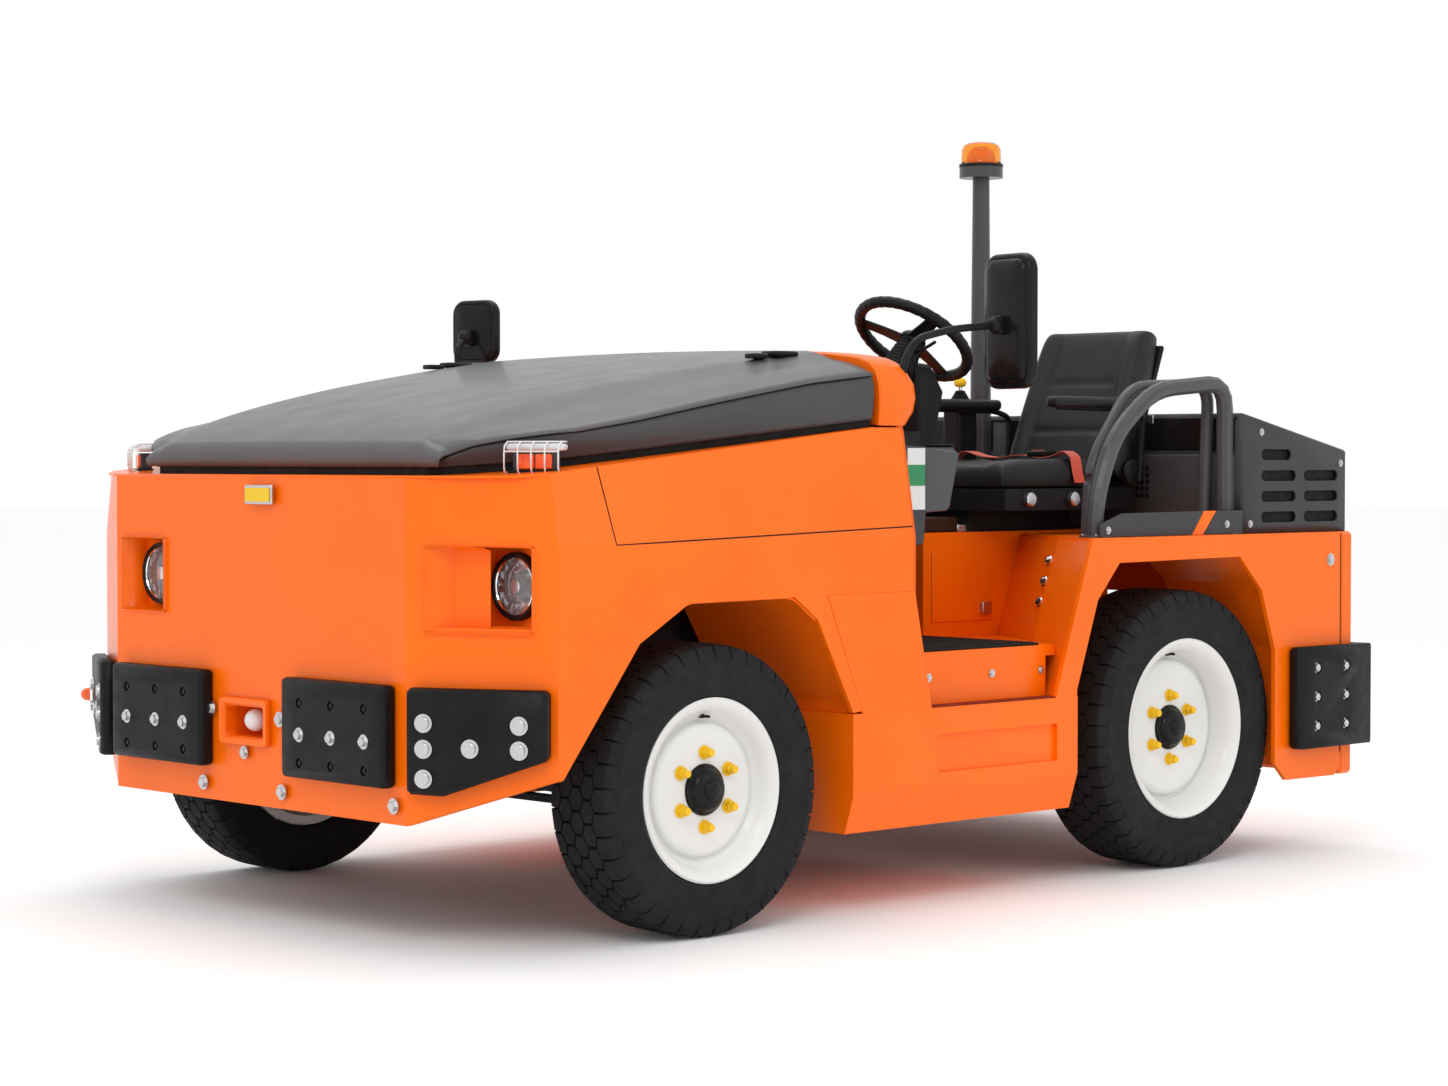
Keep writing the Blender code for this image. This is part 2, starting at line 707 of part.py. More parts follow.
def step_box(name, side):
    """The closed box under the entry, whose top is the first step."""
    outline = [
        (BODY_X, LEDGE_Z),
        (BODY_X, STEP_CREASE_Z),
        (BODY_X - STEP_TUCK, STEP_BOTTOM_Z),
        (RAIL_X + RAIL_WIDTH / 2 + GAP, STEP_BOTTOM_Z),
        (RAIL_X + RAIL_WIDTH / 2 + GAP, LEDGE_Z),
    ]
    outline = [(side * x, z) for x, z in outline]
    box = extruded(f"step_box_{name}", outline, "Y", STEP_FRONT_Y, STEP_REAR_Y)
    middle = (STEP_FRONT_Y + STEP_REAR_Y) / 2 + 0.12
    recess = 0.012
    low, high = sorted((side * (BODY_X - recess), side * (BODY_X + 0.05)))
    z = (STEP_CREASE_Z + LEDGE_Z) / 2 - 0.016
    return cut(
        box,
        block(f"step_recess_{name}", (low, middle - 0.25, z - 0.052), (high, middle + 0.25, z + 0.052)),
    )


def hood_section(y, width):
    """The hood's (x, y, z) section at a station, over its outer face and back along its inner face."""
    t = HOOD_THICKNESS
    share = (y - HOOD_FRONT_Y) / (HOOD_REAR_Y - HOOD_FRONT_Y)
    low = hood_edge_z(y)
    side = max(t, HOOD_SEAT_Z + HOOD_CREASE_RISE * share**0.57 - low)
    top = max(t, HOOD_SEAT_Z + HOOD_RISE * share**0.5 - low)
    panel_x = min(0.64, width - 0.06)
    crown_x = min(0.57, width - 0.12)
    outer = [
        (width, low),
        (width - 0.004, low + max(t, 0.8 * side)),
        (width - 0.030, low + max(t, 1.02 * side)),
        (panel_x, low + side + 0.8 * (top - side)),
        (crown_x, low + top),
        (0.25, low + top + 0.002 * share),
    ]
    inner = [
        (width - t, low),
        (width - 0.004 - t, outer[1][1] - t),
        (width - 0.030 - 0.7 * t, outer[2][1] - t),
    ]
    inner += [(panel_x - 0.2 * t, outer[3][1] - t), (crown_x, outer[4][1] - t), (0.25, outer[5][1] - t)]
    inner_y = y
    if abs(y - NOSE_Y - TURN_LAMP_NOTCH_Y) < 2 * t:
        inner_y += t
    over = outer + [(-x, z) for x, z in reversed(outer)]
    under = [(-x, z) for x, z in inner] + inner[::-1]
    return [(x, y, z) for x, z in over] + [(x, inner_y, z) for x, z in under]


def hood():
    """A thin shell lofted from the nose back to the hoop, with its front corners notched for the lamps."""
    notch_y = NOSE_Y + TURN_LAMP_NOTCH_Y
    notch_x = BODY_X - TURN_LAMP_NOTCH_X
    edge_x = BODY_X - HOOD_EDGE_X
    front_x = NOSE_X + 0.015
    corner = chamfer_point(notch_x).y + 0.030
    first = notch_y + 0.12
    back = 5
    stations = [
        (HOOD_FRONT_Y, front_x),
        ((HOOD_FRONT_Y + corner) / 2, (front_x + notch_x) / 2),
        (corner, notch_x),
        ((corner + notch_y) / 2, notch_x),
        (notch_y, notch_x),
        (notch_y + 0.008, edge_x),
    ]
    stations += [(first + (HOOD_REAR_Y - first) * i / back, edge_x) for i in range(back + 1)]
    return lofted("hood", [hood_section(y, width) for y, width in stations], "hood_grey")


def hoop_outline(offset):
    """Half of the hoop's (x, z) outline, from its foot to the middle, moved inwards by offset."""
    foot = hood_edge_z(FIREWALL_Y - 0.105)
    rise = HOOD_SEAT_Z + HOOD_RISE
    crease = HOOD_SEAT_Z + HOOD_CREASE_RISE
    return [
        (BODY_X - HOOD_EDGE_X + 0.012 - offset, foot),
        (BODY_X - HOOD_EDGE_X + 0.012 - offset, crease - 0.006 - offset * 0.4),
        (BODY_X - HOOD_EDGE_X - 0.030 - offset * 0.7, crease + 0.036 - offset),
        (0.60, rise + 0.008 - offset),
        (0.20, rise + 0.014 - offset),
    ]


def cowl_hoop():
    outer = hoop_outline(0)
    inner = hoop_outline(HOOP_THICKNESS)
    outline = outer + [(-x, z) for x, z in reversed(outer)]
    outline += [(-x, z) for x, z in inner] + list(reversed(inner))
    front = HOOD_REAR_Y + SWING_GAP
    return extruded("cowl_hoop", outline, "Y", front, front + HOOP_DEPTH)


def firewall():
    inner = hoop_outline(HOOP_THICKNESS + 0.001)
    inner[0] = (inner[0][0], inner[0][1] - 0.002)
    side = BODY_X - PLATE - 0.001
    half = [(side, FLOOR_Z + GAP), (side, SHOULDER_Z)]
    half += [(side - SIDE_LEAN * (inner[0][1] - SHOULDER_Z), inner[0][1] - 0.004)] + inner
    outline = half + [(-x, z) for x, z in reversed(half)]
    return extruded("firewall", outline, "Y", FIREWALL_Y + GAP, FIREWALL_Y + 0.025)


def dash_console():
    y = FIREWALL_Y + 0.025 + GAP
    outline = [
        (y, 1.250),
        (FIREWALL_Y + 0.340, 1.250),
        (FIREWALL_Y + 0.290, 1.080),
        (FIREWALL_Y + 0.205, 1.066),
        (FIREWALL_Y + 0.185, 0.980),
        (y, 0.980),
    ]
    width = BODY_X - 0.150
    return bevel(extruded("dash_console", outline, "X", -width, width, "hood_grey"), 0.008)


# Cab


def entry_rear(x, z):
    """The y of the entry's rear wall at a place across the vehicle and a height."""
    knee_x = BODY_X - 0.20
    knee = ENTRY_REAR_Y + 0.084
    end = ENTRY_REAR_Y + 0.277
    if x >= knee_x:
        y = ENTRY_REAR_Y + (BODY_X - x) / (BODY_X - knee_x) * (knee - ENTRY_REAR_Y)
    else:
        y = knee + (knee_x - x) / (knee_x - PEDESTAL_X) * (end - knee)
    return y + ENTRY_LEAN * (z - FLOOR_Z)


def cab_floor():
    edge_x = BODY_X - 0.056
    bottom = FLOOR_Z - FLOOR_THICKNESS
    clear = 0.003
    half = [
        (edge_x, FIREWALL_Y + GAP),
        (edge_x, entry_rear(edge_x, bottom) - clear),
        (BODY_X - 0.20, entry_rear(BODY_X - 0.20, bottom) - clear),
        (PEDESTAL_X + 0.002, entry_rear(PEDESTAL_X, bottom) - clear),
        (PEDESTAL_X - 0.020, entry_rear(PEDESTAL_X, bottom) - clear),
        (PEDESTAL_X - 0.020, PEDESTAL_REAR_Y),
    ]
    outline = half + [(-x, y) for x, y in reversed(half)]
    floor = extruded("cab_floor", outline, "Z", bottom, FLOOR_Z)
    for side in (1, -1):
        low, high = sorted((side * (edge_x - PLATE), side * edge_x))
        rear = entry_rear(edge_x, LEDGE_Z) - clear
        low = (low, FIREWALL_Y + 0.030, LEDGE_Z + GAP)
        high = (high, rear, FLOOR_Z - 0.010)
        join(floor, block(f"riser_{side:+d}", low, high))
    return floor


def hollow_box(name, low, high, wall, colour):
    """A box of sheet metal that is open underneath."""
    box = block(name, low, high, colour)
    inside_low = Vector(low) + Vector((wall, wall, -0.05))
    inside_high = Vector(high) - Vector((wall, wall, wall))
    return cut(box, block(f"{name}_inside", inside_low, inside_high))


def seat_pedestal():
    low = (-PEDESTAL_X, PEDESTAL_FRONT_Y, FLOOR_Z + GAP)
    high = (PEDESTAL_X, PEDESTAL_REAR_Y, PEDESTAL_TOP_Z)
    return hollow_box("seat_pedestal", low, high, PLATE, "orange")


def seat():
    low_x = SEAT_X - SEAT_WIDTH / 2
    high_x = SEAT_X + SEAT_WIDTH / 2
    rear_y = SEAT_FRONT_Y + SEAT_DEPTH
    base_top = PEDESTAL_TOP_Z + SEAT_BASE_HEIGHT
    low = (low_x + 0.03, SEAT_FRONT_Y + 0.03, PEDESTAL_TOP_Z + GAP)
    base = block("seat_base", low, (PEDESTAL_X - 0.01, rear_y, base_top - 0.060), "black")
    tray_low = (low_x, SEAT_FRONT_Y, base_top - 0.065)
    tray = block("seat_tray", tray_low, (high_x, rear_y + 0.110, base_top), "black")
    join(base, tray)
    cushion_low = (low_x, SEAT_FRONT_Y, base_top + GAP)
    cushion = block("seat_cushion", cushion_low, (high_x, rear_y, base_top + CUSHION_HEIGHT), "vinyl")
    bevel(cushion, 0.025, 2)
    foot_y = rear_y + GAP * 2
    rise = BACK_HEIGHT * math.cos(BACK_LEAN)
    run = BACK_HEIGHT * math.sin(BACK_LEAN)
    thick = BACK_THICKNESS
    outline = [
        (foot_y, base_top + GAP),
        (foot_y + 0.9 * thick, base_top + GAP),
        (foot_y + run + thick, base_top + rise - 0.02),
        (foot_y + run + 0.2 * thick, base_top + rise),
    ]
    low_x = SEAT_X - BACK_WIDTH / 2
    back = extruded("seat_back", outline, "X", low_x, low_x + BACK_WIDTH, "vinyl")
    bevel(back, 0.022, 2)


def steering():
    axis = Vector((0, math.sin(STEERING_TILT), math.cos(STEERING_TILT)))
    turn = (-STEERING_TILT, 0, 0)
    centre = STEERING_CENTRE
    shape = bmesh.new()
    around = 40
    across = 10
    rings = []
    for i in range(around):
        angle = 2 * math.pi * i / around
        out = Vector((math.cos(angle), math.sin(angle), 0))
        ring = []
        for j in range(across):
            turn_j = 2 * math.pi * j / across
            offset = out * math.cos(turn_j) + Vector((0, 0, math.sin(turn_j)))
            ring.append(shape.verts.new(out * STEERING_R + offset * STEERING_TUBE_R))
        rings.append(ring)
    for i, ring in enumerate(rings):
        following = rings[(i + 1) % around]
        for j in range(across):
            k = (j + 1) % across
            shape.faces.new((ring[j], following[j], following[k], ring[k]))
    bmesh.ops.recalc_face_normals(shape, faces=shape.faces)
    wheel = from_bmesh("steering_wheel", shape, "black", centre, turn)
    hub = cylinder("wheel_hub", centre - axis * 0.008, 0.040, 0.034, colour="black")
    hub.rotation_euler = turn
    join(wheel, hub)
    for number in range(3):
        angle = math.radians(90 + 120 * number)
        reach = Vector((math.cos(angle), math.sin(angle), 0)) * STEERING_R / 2
        size = Vector((STEERING_R / 2, 0.016, 0.006))
        spoke = block(f"spoke_{number}", -size, size, "black")
        frame = Matrix.Rotation(-STEERING_TILT, 4, "X")
        spoke.matrix_basis = Matrix.Translation(centre) @ frame @ (
            Matrix.Translation(reach) @ Matrix.Rotation(angle, 4, "Z")
        )
        join(wheel, spoke)
    return wheel


def steering_column():
    """A floor-mounted column that leans back, with the wheel's bearing head on top."""
    axis = Vector((0, math.sin(STEERING_TILT), math.cos(STEERING_TILT)))
    y = STEERING_CENTRE.y
    z = STEERING_CENTRE.z
    outline = [
        (y - 0.273, FLOOR_Z + GAP),
        (y - 0.183, FLOOR_Z + GAP),
        (y + 0.052, z - 0.273),
        (y + 0.085, z - 0.150),
        (y + 0.030, z - 0.075),
        (y - 0.035, z - 0.070),
        (y - 0.020, z - 0.273),
    ]
    column = extruded("steering_column", outline, "X", SEAT_X - 0.045, SEAT_X + 0.045, "black")
    head_length = 0.070
    below = 0.025 + PIN_GAP + head_length / 2
    head = cylinder("column_head", STEERING_CENTRE - axis * below, 0.034, head_length, colour="black")
    head.rotation_euler = (-STEERING_TILT, 0, 0)
    bevel(column, 0.008)
    return join(column, head)


def lever_console():
    x = SEAT_X - SEAT_WIDTH / 2 - 0.070
    y = REAR_AXLE_Y - 0.036
    top = 1.410
    foot_z = PEDESTAL_TOP_Z + GAP
    box = block("lever_console", (x - 0.035, y - 0.045, foot_z), (x + 0.035, y + 0.045, top), "black")
    bevel(box, 0.008)
    join(box, cylinder("lever", (x, y, top + 0.010), 0.008, 0.060, colour="black", sides=12))
    join(box, cylinder("lever_knob", (x, y, top + 0.052), 0.020, 0.030, colour="amber", sides=16, top=0.014))
    return box


# Rear body


def rear_arch():
    """The rear wheel opening's (y, z) outline, from its front end to its rear end."""
    top = 2 * REAR_TYRE_R + REAR_ARCH_CLEARANCE
    y = REAR_AXLE_Y
    reach = REAR_TYRE_R
    return [
        (y - reach - 0.143, LEDGE_Z + 0.018),
        (y - reach - 0.051, top - 0.110),
        (y - 0.368, top - 0.006),
        (y + 0.201, top),
        (y + 0.311, top - 0.104),
        (y + 0.379, top - 0.290),
        (y + 0.381, 0.285),
    ]


def fender(name, side):
    """The rear side plate with its wheel opening, the entry's rear wall, the deck and the wheel's liner."""
    rear_y = TAIL_Y - REAR_PLATE - GAP
    outer = side * BODY_X
    front = [(entry_rear(BODY_X, LEDGE_Z + GAP) + 0.001, LEDGE_Z + GAP)]
    arch = [(rear_arch()[0][0], LEDGE_Z + GAP)] + rear_arch()
    tail = [
        (REAR_AXLE_Y + 0.438, 0.232),
        (rear_y - 0.030, 0.230),
        (rear_y, 0.260),
        (rear_y, DECK_Z),
        (entry_rear(BODY_X, DECK_Z) + 0.001, DECK_Z),
    ]
    low, high = sorted((side * (BODY_X - PLATE), outer))
    panel = extruded(f"fender_{name}", front + arch + tail, "X", low, high)
    inner_x = PEDESTAL_X + GAP
    knee_x = BODY_X - 0.20
    deck = [
        (side * (BODY_X - 0.006), entry_rear(BODY_X, DECK_Z) + 0.004),
        (side * knee_x, entry_rear(knee_x, DECK_Z) + 0.004),
        (side * inner_x, entry_rear(inner_x, DECK_Z) + 0.004),
        (side * inner_x, rear_y),
        (side * (BODY_X - 0.006), rear_y),
    ]
    join(panel, extruded(f"deck_{name}", deck, "Z", DECK_Z - PLATE, DECK_Z))
    join(panel, entry_wall(name, side, inner_x, knee_x))
    top = 2 * REAR_TYRE_R + REAR_ARCH_CLEARANCE + 0.014
    y = REAR_AXLE_Y
    behind = REAR_TYRE_R + 0.028
    line = [
        (y - 0.30, top),
        (y + 0.206, top),
        (y + 0.345, top - 0.100),
        (y + behind, top - 0.300),
        (y + behind, 0.300),
    ]
    gauge = 0.008
    back = [(p + 0.7 * gauge, q + 0.7 * gauge) for p, q in line]
    inner = max(BODY_X - 0.400, PEDESTAL_X + 0.010)
    low, high = sorted((side * inner, side * (BODY_X - 0.009)))
    liner = extruded(f"rear_liner_{name}", line + back[::-1], "X", low, high)
    return join(panel, liner)


def entry_wall(name, side, inner_x, knee_x):
    """The leaning wall at the back of the entry, from the side plate to the pedestal."""
    places = [BODY_X - 0.007, knee_x, inner_x + 0.001]
    rings = []
    for z in (LEDGE_Z + GAP, DECK_Z - PLATE / 2):
        front = [(side * x, entry_rear(x, z), z) for x in places]
        rear = [(side * x, entry_rear(x, z) + PLATE, z) for x in reversed(places)]
        rings.append(front + rear)
    return lofted(f"entry_wall_{name}", rings, "orange")


def rear_plate():
    """The thick tail plate with the hitch's opening, and the deck between the fenders."""
    low_y = TAIL_Y - REAR_PLATE
    plate = block("rear_plate", (-BODY_X, low_y, 0.230), (BODY_X, TAIL_Y, DECK_Z))
    bevel(plate, 0.010)
    opening = 0.030
    low = (-HITCH_X - opening, low_y - 0.01, HITCH_Z - 0.120)
    high = (HITCH_X + opening, TAIL_Y + 0.01, HITCH_Z + 0.300)
    cut(plate, block("hitch_opening", low, high))
    deck_low = (-PEDESTAL_X, PEDESTAL_REAR_Y + GAP, DECK_Z - PLATE)
    deck_high = (PEDESTAL_X, low_y + 0.02, DECK_Z - 0.0005)
    return join(plate, block("centre_deck", deck_low, deck_high))


def rear_box():
    """The sheet metal cover over the tail, with a top that slopes down to the rear."""
    rear_y = TAIL_Y - GAP
    foot = DECK_Z - 0.020
    front = [(BOX_FRONT_Y, foot), (rear_y, foot), (rear_y, BOX_REAR_Z), (BOX_FRONT_Y, BOX_FRONT_Z)]
    box = bevel(extruded("rear_box", front, "X", -BOX_X, BOX_X, "hood_grey"), 0.008)
    low = (-BODY_X, BOX_FRONT_Y - 0.1, foot - 0.1)
    cut(box, block("rear_box_foot", low, (BODY_X, rear_y + 0.1, DECK_Z + GAP)))
    w = BOX_WALL
    inside = [
        (BOX_FRONT_Y + w, DECK_Z - 0.05),
        (rear_y - w, DECK_Z - 0.05),
        (rear_y - w, BOX_REAR_Z - w),
        (BOX_FRONT_Y + w, BOX_FRONT_Z - w),
    ]
    return cut(box, extruded("rear_box_inside", inside, "X", -BOX_X + w, BOX_X - w))


def handrail(name, side):
    x = side * (BODY_X - HANDRAIL_INSET)
    foot_y = REAR_AXLE_Y - 0.404
    rear_y = BOX_FRONT_Y - RAIL_TUBE_R - 0.010
    top = DECK_Z + 0.459
    corners = [
        (x, foot_y, DECK_Z + GAP),
        (x, foot_y, DECK_Z + 0.100),
        (x, foot_y + 0.085, DECK_Z + 0.295),
        (x, foot_y + 0.270, top - 0.028),
        (x, rear_y, top),
        (x, rear_y, DECK_Z + GAP),
    ]
    return tube(f"handrail_{name}", smooth_route(corners, 0.085), RAIL_TUBE_R)


# Fittings


def beacon():
    y = REAR_AXLE_Y + 0.151
    low = PEDESTAL_TOP_Z + GAP
    top = 2.125
    pole = cylinder("beacon_pole", (0, y, (low + top) / 2), 0.037, top - low, colour="iron", top=0.027)
    base_height = 0.045
    join(pole, cylinder("beacon_base", (0, y, top + base_height / 2 - 0.002), 0.070, base_height, colour="black"))
    lens_low = top - 0.002 + base_height + GAP
    lens_height = 0.070
    profile = [(0, lens_height), (0.045, lens_height - 0.003), (0.062, lens_height - 0.018), (0.065, 0), (0, 0)]
    turned("beacon_lens", profile, "amber", (0, y, lens_low), closed=False, steps=24)
    return pole


def mirrors():
    hoop_rear = HOOD_REAR_Y + SWING_GAP + HOOP_DEPTH
    x = BODY_X - 0.075
    route = [
        (x, hoop_rear + GAP, 1.410),
        (x, hoop_rear + 0.060, 1.420),
        (x, hoop_rear + 0.085, 1.550),
        (x, hoop_rear + 0.180, 1.580),
        (x, hoop_rear + 0.400, 1.600),
    ]
    arm = tube("mirror_L", smooth_route(route, 0.045), 0.012, "black", as_mesh=True)
    head_y = hoop_rear + 0.395
    low = (x - 0.100, head_y, 1.415)
    head = block("mirror_head_L", low, (x + 0.100, head_y + 0.050, 1.795), "black", (0, 0, math.radians(-8)))
    join(arm, bevel(head, 0.018, 2))
    crown = HOOD_SEAT_Z + HOOD_CREASE_RISE + 0.036
    x = -(BODY_X - 0.100)
    mid_y = hoop_rear - 0.070
    rise = hoop_crown_z(abs(x))
    route = [
        (x, mid_y, rise + GAP + 0.010 * hoop_slope()),
        (x, mid_y, rise + 0.060),
        (x - 0.020, mid_y + 0.050, crown + 0.110),
    ]
    arm = tube("mirror_R", smooth_route(route, 0.020), 0.010, "black", as_mesh=True)
    low = (x - 0.115, mid_y + 0.045, crown + 0.035)
    high = (x + 0.065, mid_y + 0.085, crown + 0.235)
    head = block("mirror_head_R", low, high, "black", (0, 0, math.radians(8)))
    join(arm, bevel(head, 0.016, 2))


def hoop_slope():
    """Rise of the hoop's shoulder per metre across."""
    (_, _), (_, _), (x1, z1), (x2, z2), _ = hoop_outline(0)
    return (z2 - z1) / (x1 - x2)


def hoop_crown_z(x):
    """Height of the hoop's top at a place across, outside its flat middle."""
    _, _, (x1, z1), _, _ = hoop_outline(0)
    return z1 + (x1 - x) * hoop_slope()


def bumpers():
    face = NOSE_Y - PAD_THICKNESS
    for name, side in (("L", 1), ("R", -1)):
        low, high = sorted((side * 0.180, side * 0.610))
        pad = block(f"bumper_front_{name}", (low, face, 0.407), (high, NOSE_Y - GAP, 0.662), "rubber")
        bevel(pad, 0.012, 2)
        corner_pad(name, side)
        rear_pad(name, side)


def corner_pad(name, side):
    """The five-sided pad on a front corner facet, drawn flat along the facet."""
    angle = chamfer_angle()
    start = chamfer_point(NOSE_X + 0.015)
    end = chamfer_point(BODY_X - 0.014)
    width = (end - start).length
    outline = [
        (0, 0.400),
        (0.095, 0.397),
        (width, 0.491),
        (width, 0.660),
        (0, 0.660),
    ]
    outline = [(side * (u - width / 2), z) for u, z in outline]
    pad = extruded(f"bumper_corner_{name}", outline, "Y", -PAD_THICKNESS / 2, PAD_THICKNESS / 2 - GAP, "rubber")
    middle = chamfer_point((start.x + end.x) / 2, PAD_THICKNESS / 2 + GAP)
    shift = pad.location.copy()
    pad.rotation_euler = (math.pi / 2, 0, side * angle)
    turn = Matrix.Rotation(side * angle, 3, "Z")
    pad.location = Vector((side * middle.x, middle.y, 0)) + turn @ shift
    return bevel(pad, 0.010)


def rear_pad(name, side):
    """The L-shaped pad round a rear corner."""
    out_x = BODY_X + PAD_THICKNESS
    out_y = TAIL_Y + PAD_THICKNESS
    start_y = REAR_AXLE_Y + 0.444
    outline = [
        (out_x, start_y),
        (out_x, out_y),
        (BODY_X - 0.380, out_y),
        (BODY_X - 0.380, TAIL_Y + GAP),
        (BODY_X + GAP, TAIL_Y + GAP),
        (BODY_X + GAP, start_y),
    ]
    outline = [(side * x, y) for x, y in outline]
    return bevel(extruded(f"bumper_rear_{name}", outline, "Z", 0.327, 0.640, "rubber"), 0.010)


def lamps():
    for name, place in lamp_places().items():
        depth = 0.035 - GAP
        back = 0.040
        lamp = cylinder(f"headlamp_{name}", place + Vector((0, depth / 2, 0)), LAMP_R, depth, "Y", "glass", 32)
        bevel(lamp, 0.006)
        stem = place + Vector((0, depth + back / 2 - 0.002, 0))
        join(lamp, cylinder(f"lamp_body_{name}", stem, LAMP_R - 0.012, back, "Y", "glass", 32))
    for name, side in (("L", 1), ("R", -1)):
        turn_lamp(name, side)


def turn_lamp(name, side):
    """The direction lamp in the hood's corner notch, on a foot that stands on the side plate."""
    notch_x = BODY_X - TURN_LAMP_NOTCH_X
    inner, outer = notch_x + 0.018, BODY_X - 0.050
    front = NOSE_Y + 0.157
    rear = NOSE_Y + TURN_LAMP_NOTCH_Y - 0.029
    x_low, x_high = sorted((side * inner, side * outer))
    lamp = block(f"turn_lamp_{name}", (x_low, front, HOOD_SEAT_Z + 0.008), (x_high, rear, HOOD_SEAT_Z + 0.084), "amber")
    bevel(lamp, 0.012, 2)
    foot_low, foot_high = sorted((side * (outer - 0.04), side * (BODY_X - 0.030)))
    foot = block(
        f"lamp_foot_{name}",
        (foot_low, front + 0.075, hood_edge_z(rear - 0.005) - GAP),
        (foot_high, rear - 0.005, HOOD_SEAT_Z + 0.030),
    )
    return join(lamp, foot)


def hitch():
    """The rear hitch: a jaw on the last cross member, with a pin that lifts out."""
    front = REAR_AXLE_Y + 0.500 + GAP
    rear = TAIL_Y + PAD_THICKNESS - 0.002
    half = 0.080
    jaw = block("rear_hitch", (-HITCH_X, front, HITCH_Z - half), (HITCH_X, rear, HITCH_Z + half), "iron")
    bevel(jaw, 0.006)
    mouth = 0.040
    slot_low = (-HITCH_X - 0.02, TAIL_Y - 0.135, HITCH_Z - mouth)
    cut(jaw, block("jaw_mouth", slot_low, (HITCH_X + 0.02, rear + 0.02, HITCH_Z + mouth)))
    pin_y = TAIL_Y - 0.035
    bore = cylinder("pin_bore", (0, pin_y, HITCH_Z), HITCH_PIN_R + PIN_GAP, 0.30, sides=24)
    cut(jaw, bore)
    head_z = HITCH_Z + half + PIN_GAP
    low_z = HITCH_Z - half - 0.020
    pin = cylinder("hitch_pin", (0, pin_y, (low_z + head_z + 0.05) / 2), HITCH_PIN_R, head_z + 0.05 - low_z)
    collar = cylinder("pin_collar", (0, pin_y, head_z + 0.009), 0.028, 0.018)
    join(pin, collar)
    grip = cylinder("pin_grip", (0, pin_y, head_z + 0.050), 0.009, 0.120, "X", sides=12)
    return join(pin, grip)


def main():
    clear_scene()
    chassis()
    front_axle()
    rear_axle()
    tie_rod()
    engine()
    nose_body()
    hood()
    cowl_hoop()
    firewall()
    dash_console()
    cab_floor()
    seat_pedestal()
    seat()
    steering()
    steering_column()
    lever_console()
    rear_plate()
    rear_box()
    for name, side in (("L", 1), ("R", -1)):
        knuckle(name, side)
        quarter_and_wheelhouse(name, side)
        step_box(name, side)
        fender(name, side)
        handrail(name, side)
        rim_and_tyre(
            f"F{name}", side, FRONT_AXLE_Y, FRONT_TYRE_R, FRONT_TYRE_WIDTH,
            FRONT_FLANGE_R, FRONT_TYRE_INSET, FRONT_DISC_DEPTH,
        )
        rim_and_tyre(
            f"R{name}", side, REAR_AXLE_Y, REAR_TYRE_R, REAR_TYRE_WIDTH,
            REAR_FLANGE_R, REAR_TYRE_INSET, REAR_DISC_DEPTH,
        )
    beacon()
    mirrors()
    bumpers()
    lamps()
    hitch()


main()
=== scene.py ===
"""The looks of the airport baggage tug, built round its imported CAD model.

Metres, +Z up, the front faces -Y and the driver's left is +X. CAD nodes with the right shape keep it and get
rounded edges, seams and a material. The hood, wheels, seat, lamps and small fittings are modelled here.
"""

import json
import math
import random

import bmesh
import bpy
from mathutils import Matrix, Vector


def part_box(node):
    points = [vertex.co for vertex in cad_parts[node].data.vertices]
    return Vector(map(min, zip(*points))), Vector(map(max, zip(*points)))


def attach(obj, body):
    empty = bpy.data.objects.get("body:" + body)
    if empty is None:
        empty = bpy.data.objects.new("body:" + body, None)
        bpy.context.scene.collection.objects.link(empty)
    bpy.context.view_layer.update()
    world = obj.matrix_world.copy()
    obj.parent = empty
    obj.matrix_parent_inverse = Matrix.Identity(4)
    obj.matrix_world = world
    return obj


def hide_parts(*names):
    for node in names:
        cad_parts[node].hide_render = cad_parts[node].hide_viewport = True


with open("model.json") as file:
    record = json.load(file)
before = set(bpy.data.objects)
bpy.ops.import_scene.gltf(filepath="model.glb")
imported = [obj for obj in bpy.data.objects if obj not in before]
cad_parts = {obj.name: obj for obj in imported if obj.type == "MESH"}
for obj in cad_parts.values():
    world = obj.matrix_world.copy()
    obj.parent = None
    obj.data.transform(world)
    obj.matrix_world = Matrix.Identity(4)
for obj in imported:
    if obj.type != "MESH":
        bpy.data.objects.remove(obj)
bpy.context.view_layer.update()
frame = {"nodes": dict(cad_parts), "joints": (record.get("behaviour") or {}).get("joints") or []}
nodes = frame["nodes"]
random.seed(7)

# The camera's place and lens
CAMERA_PLACE = (6.6583, -6.3753, 1.2198)
CAMERA_AZIMUTH = math.radians(46.4376)
CAMERA_PITCH = math.radians(1.572)
CAMERA_LENS = 76.66

# Places read from the frame
NOSE_LOW, NOSE_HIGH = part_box("nose_body")
HOOD_LOW, HOOD_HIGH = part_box("hood")
DECK_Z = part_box("fender_L")[1].z
BODY_X = NOSE_HIGH.x
NOSE_Y = NOSE_LOW.y
FIREWALL_Y = NOSE_HIGH.y
FLOOR_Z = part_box("cab_floor")[1].z
FRONT_AXLE = (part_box("tyre_FL")[0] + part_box("tyre_FL")[1]) / 2
FACET_X = 0.647  # half width of the flat front facet
CHAMFER_RUN = BODY_X - FACET_X
CHAMFER_DEPTH = 0.190
SHOULDER_Z = 1.007
SIDE_LEAN = 0.158  # how far the side leans in per metre above the shoulder
SEAT_LINE_START = 0.135  # from the nose to where the hood's lower edge starts to rise
SEAT_LINE_SLOPE = 0.104
PAD_THICKNESS = 0.045
PAD_FACE = 0.0449  # just under the pad's face
SHUT_LINE_WIDTH = 0.0035
TAIL_Y = 1.735
STEERING_TILT = math.radians(37.5)
STEERING_RADIUS = 0.175
SEAT_LEAN = math.radians(21)
BEAD_SHARE = 0.632  # the bead's radius as a share of the tyre's
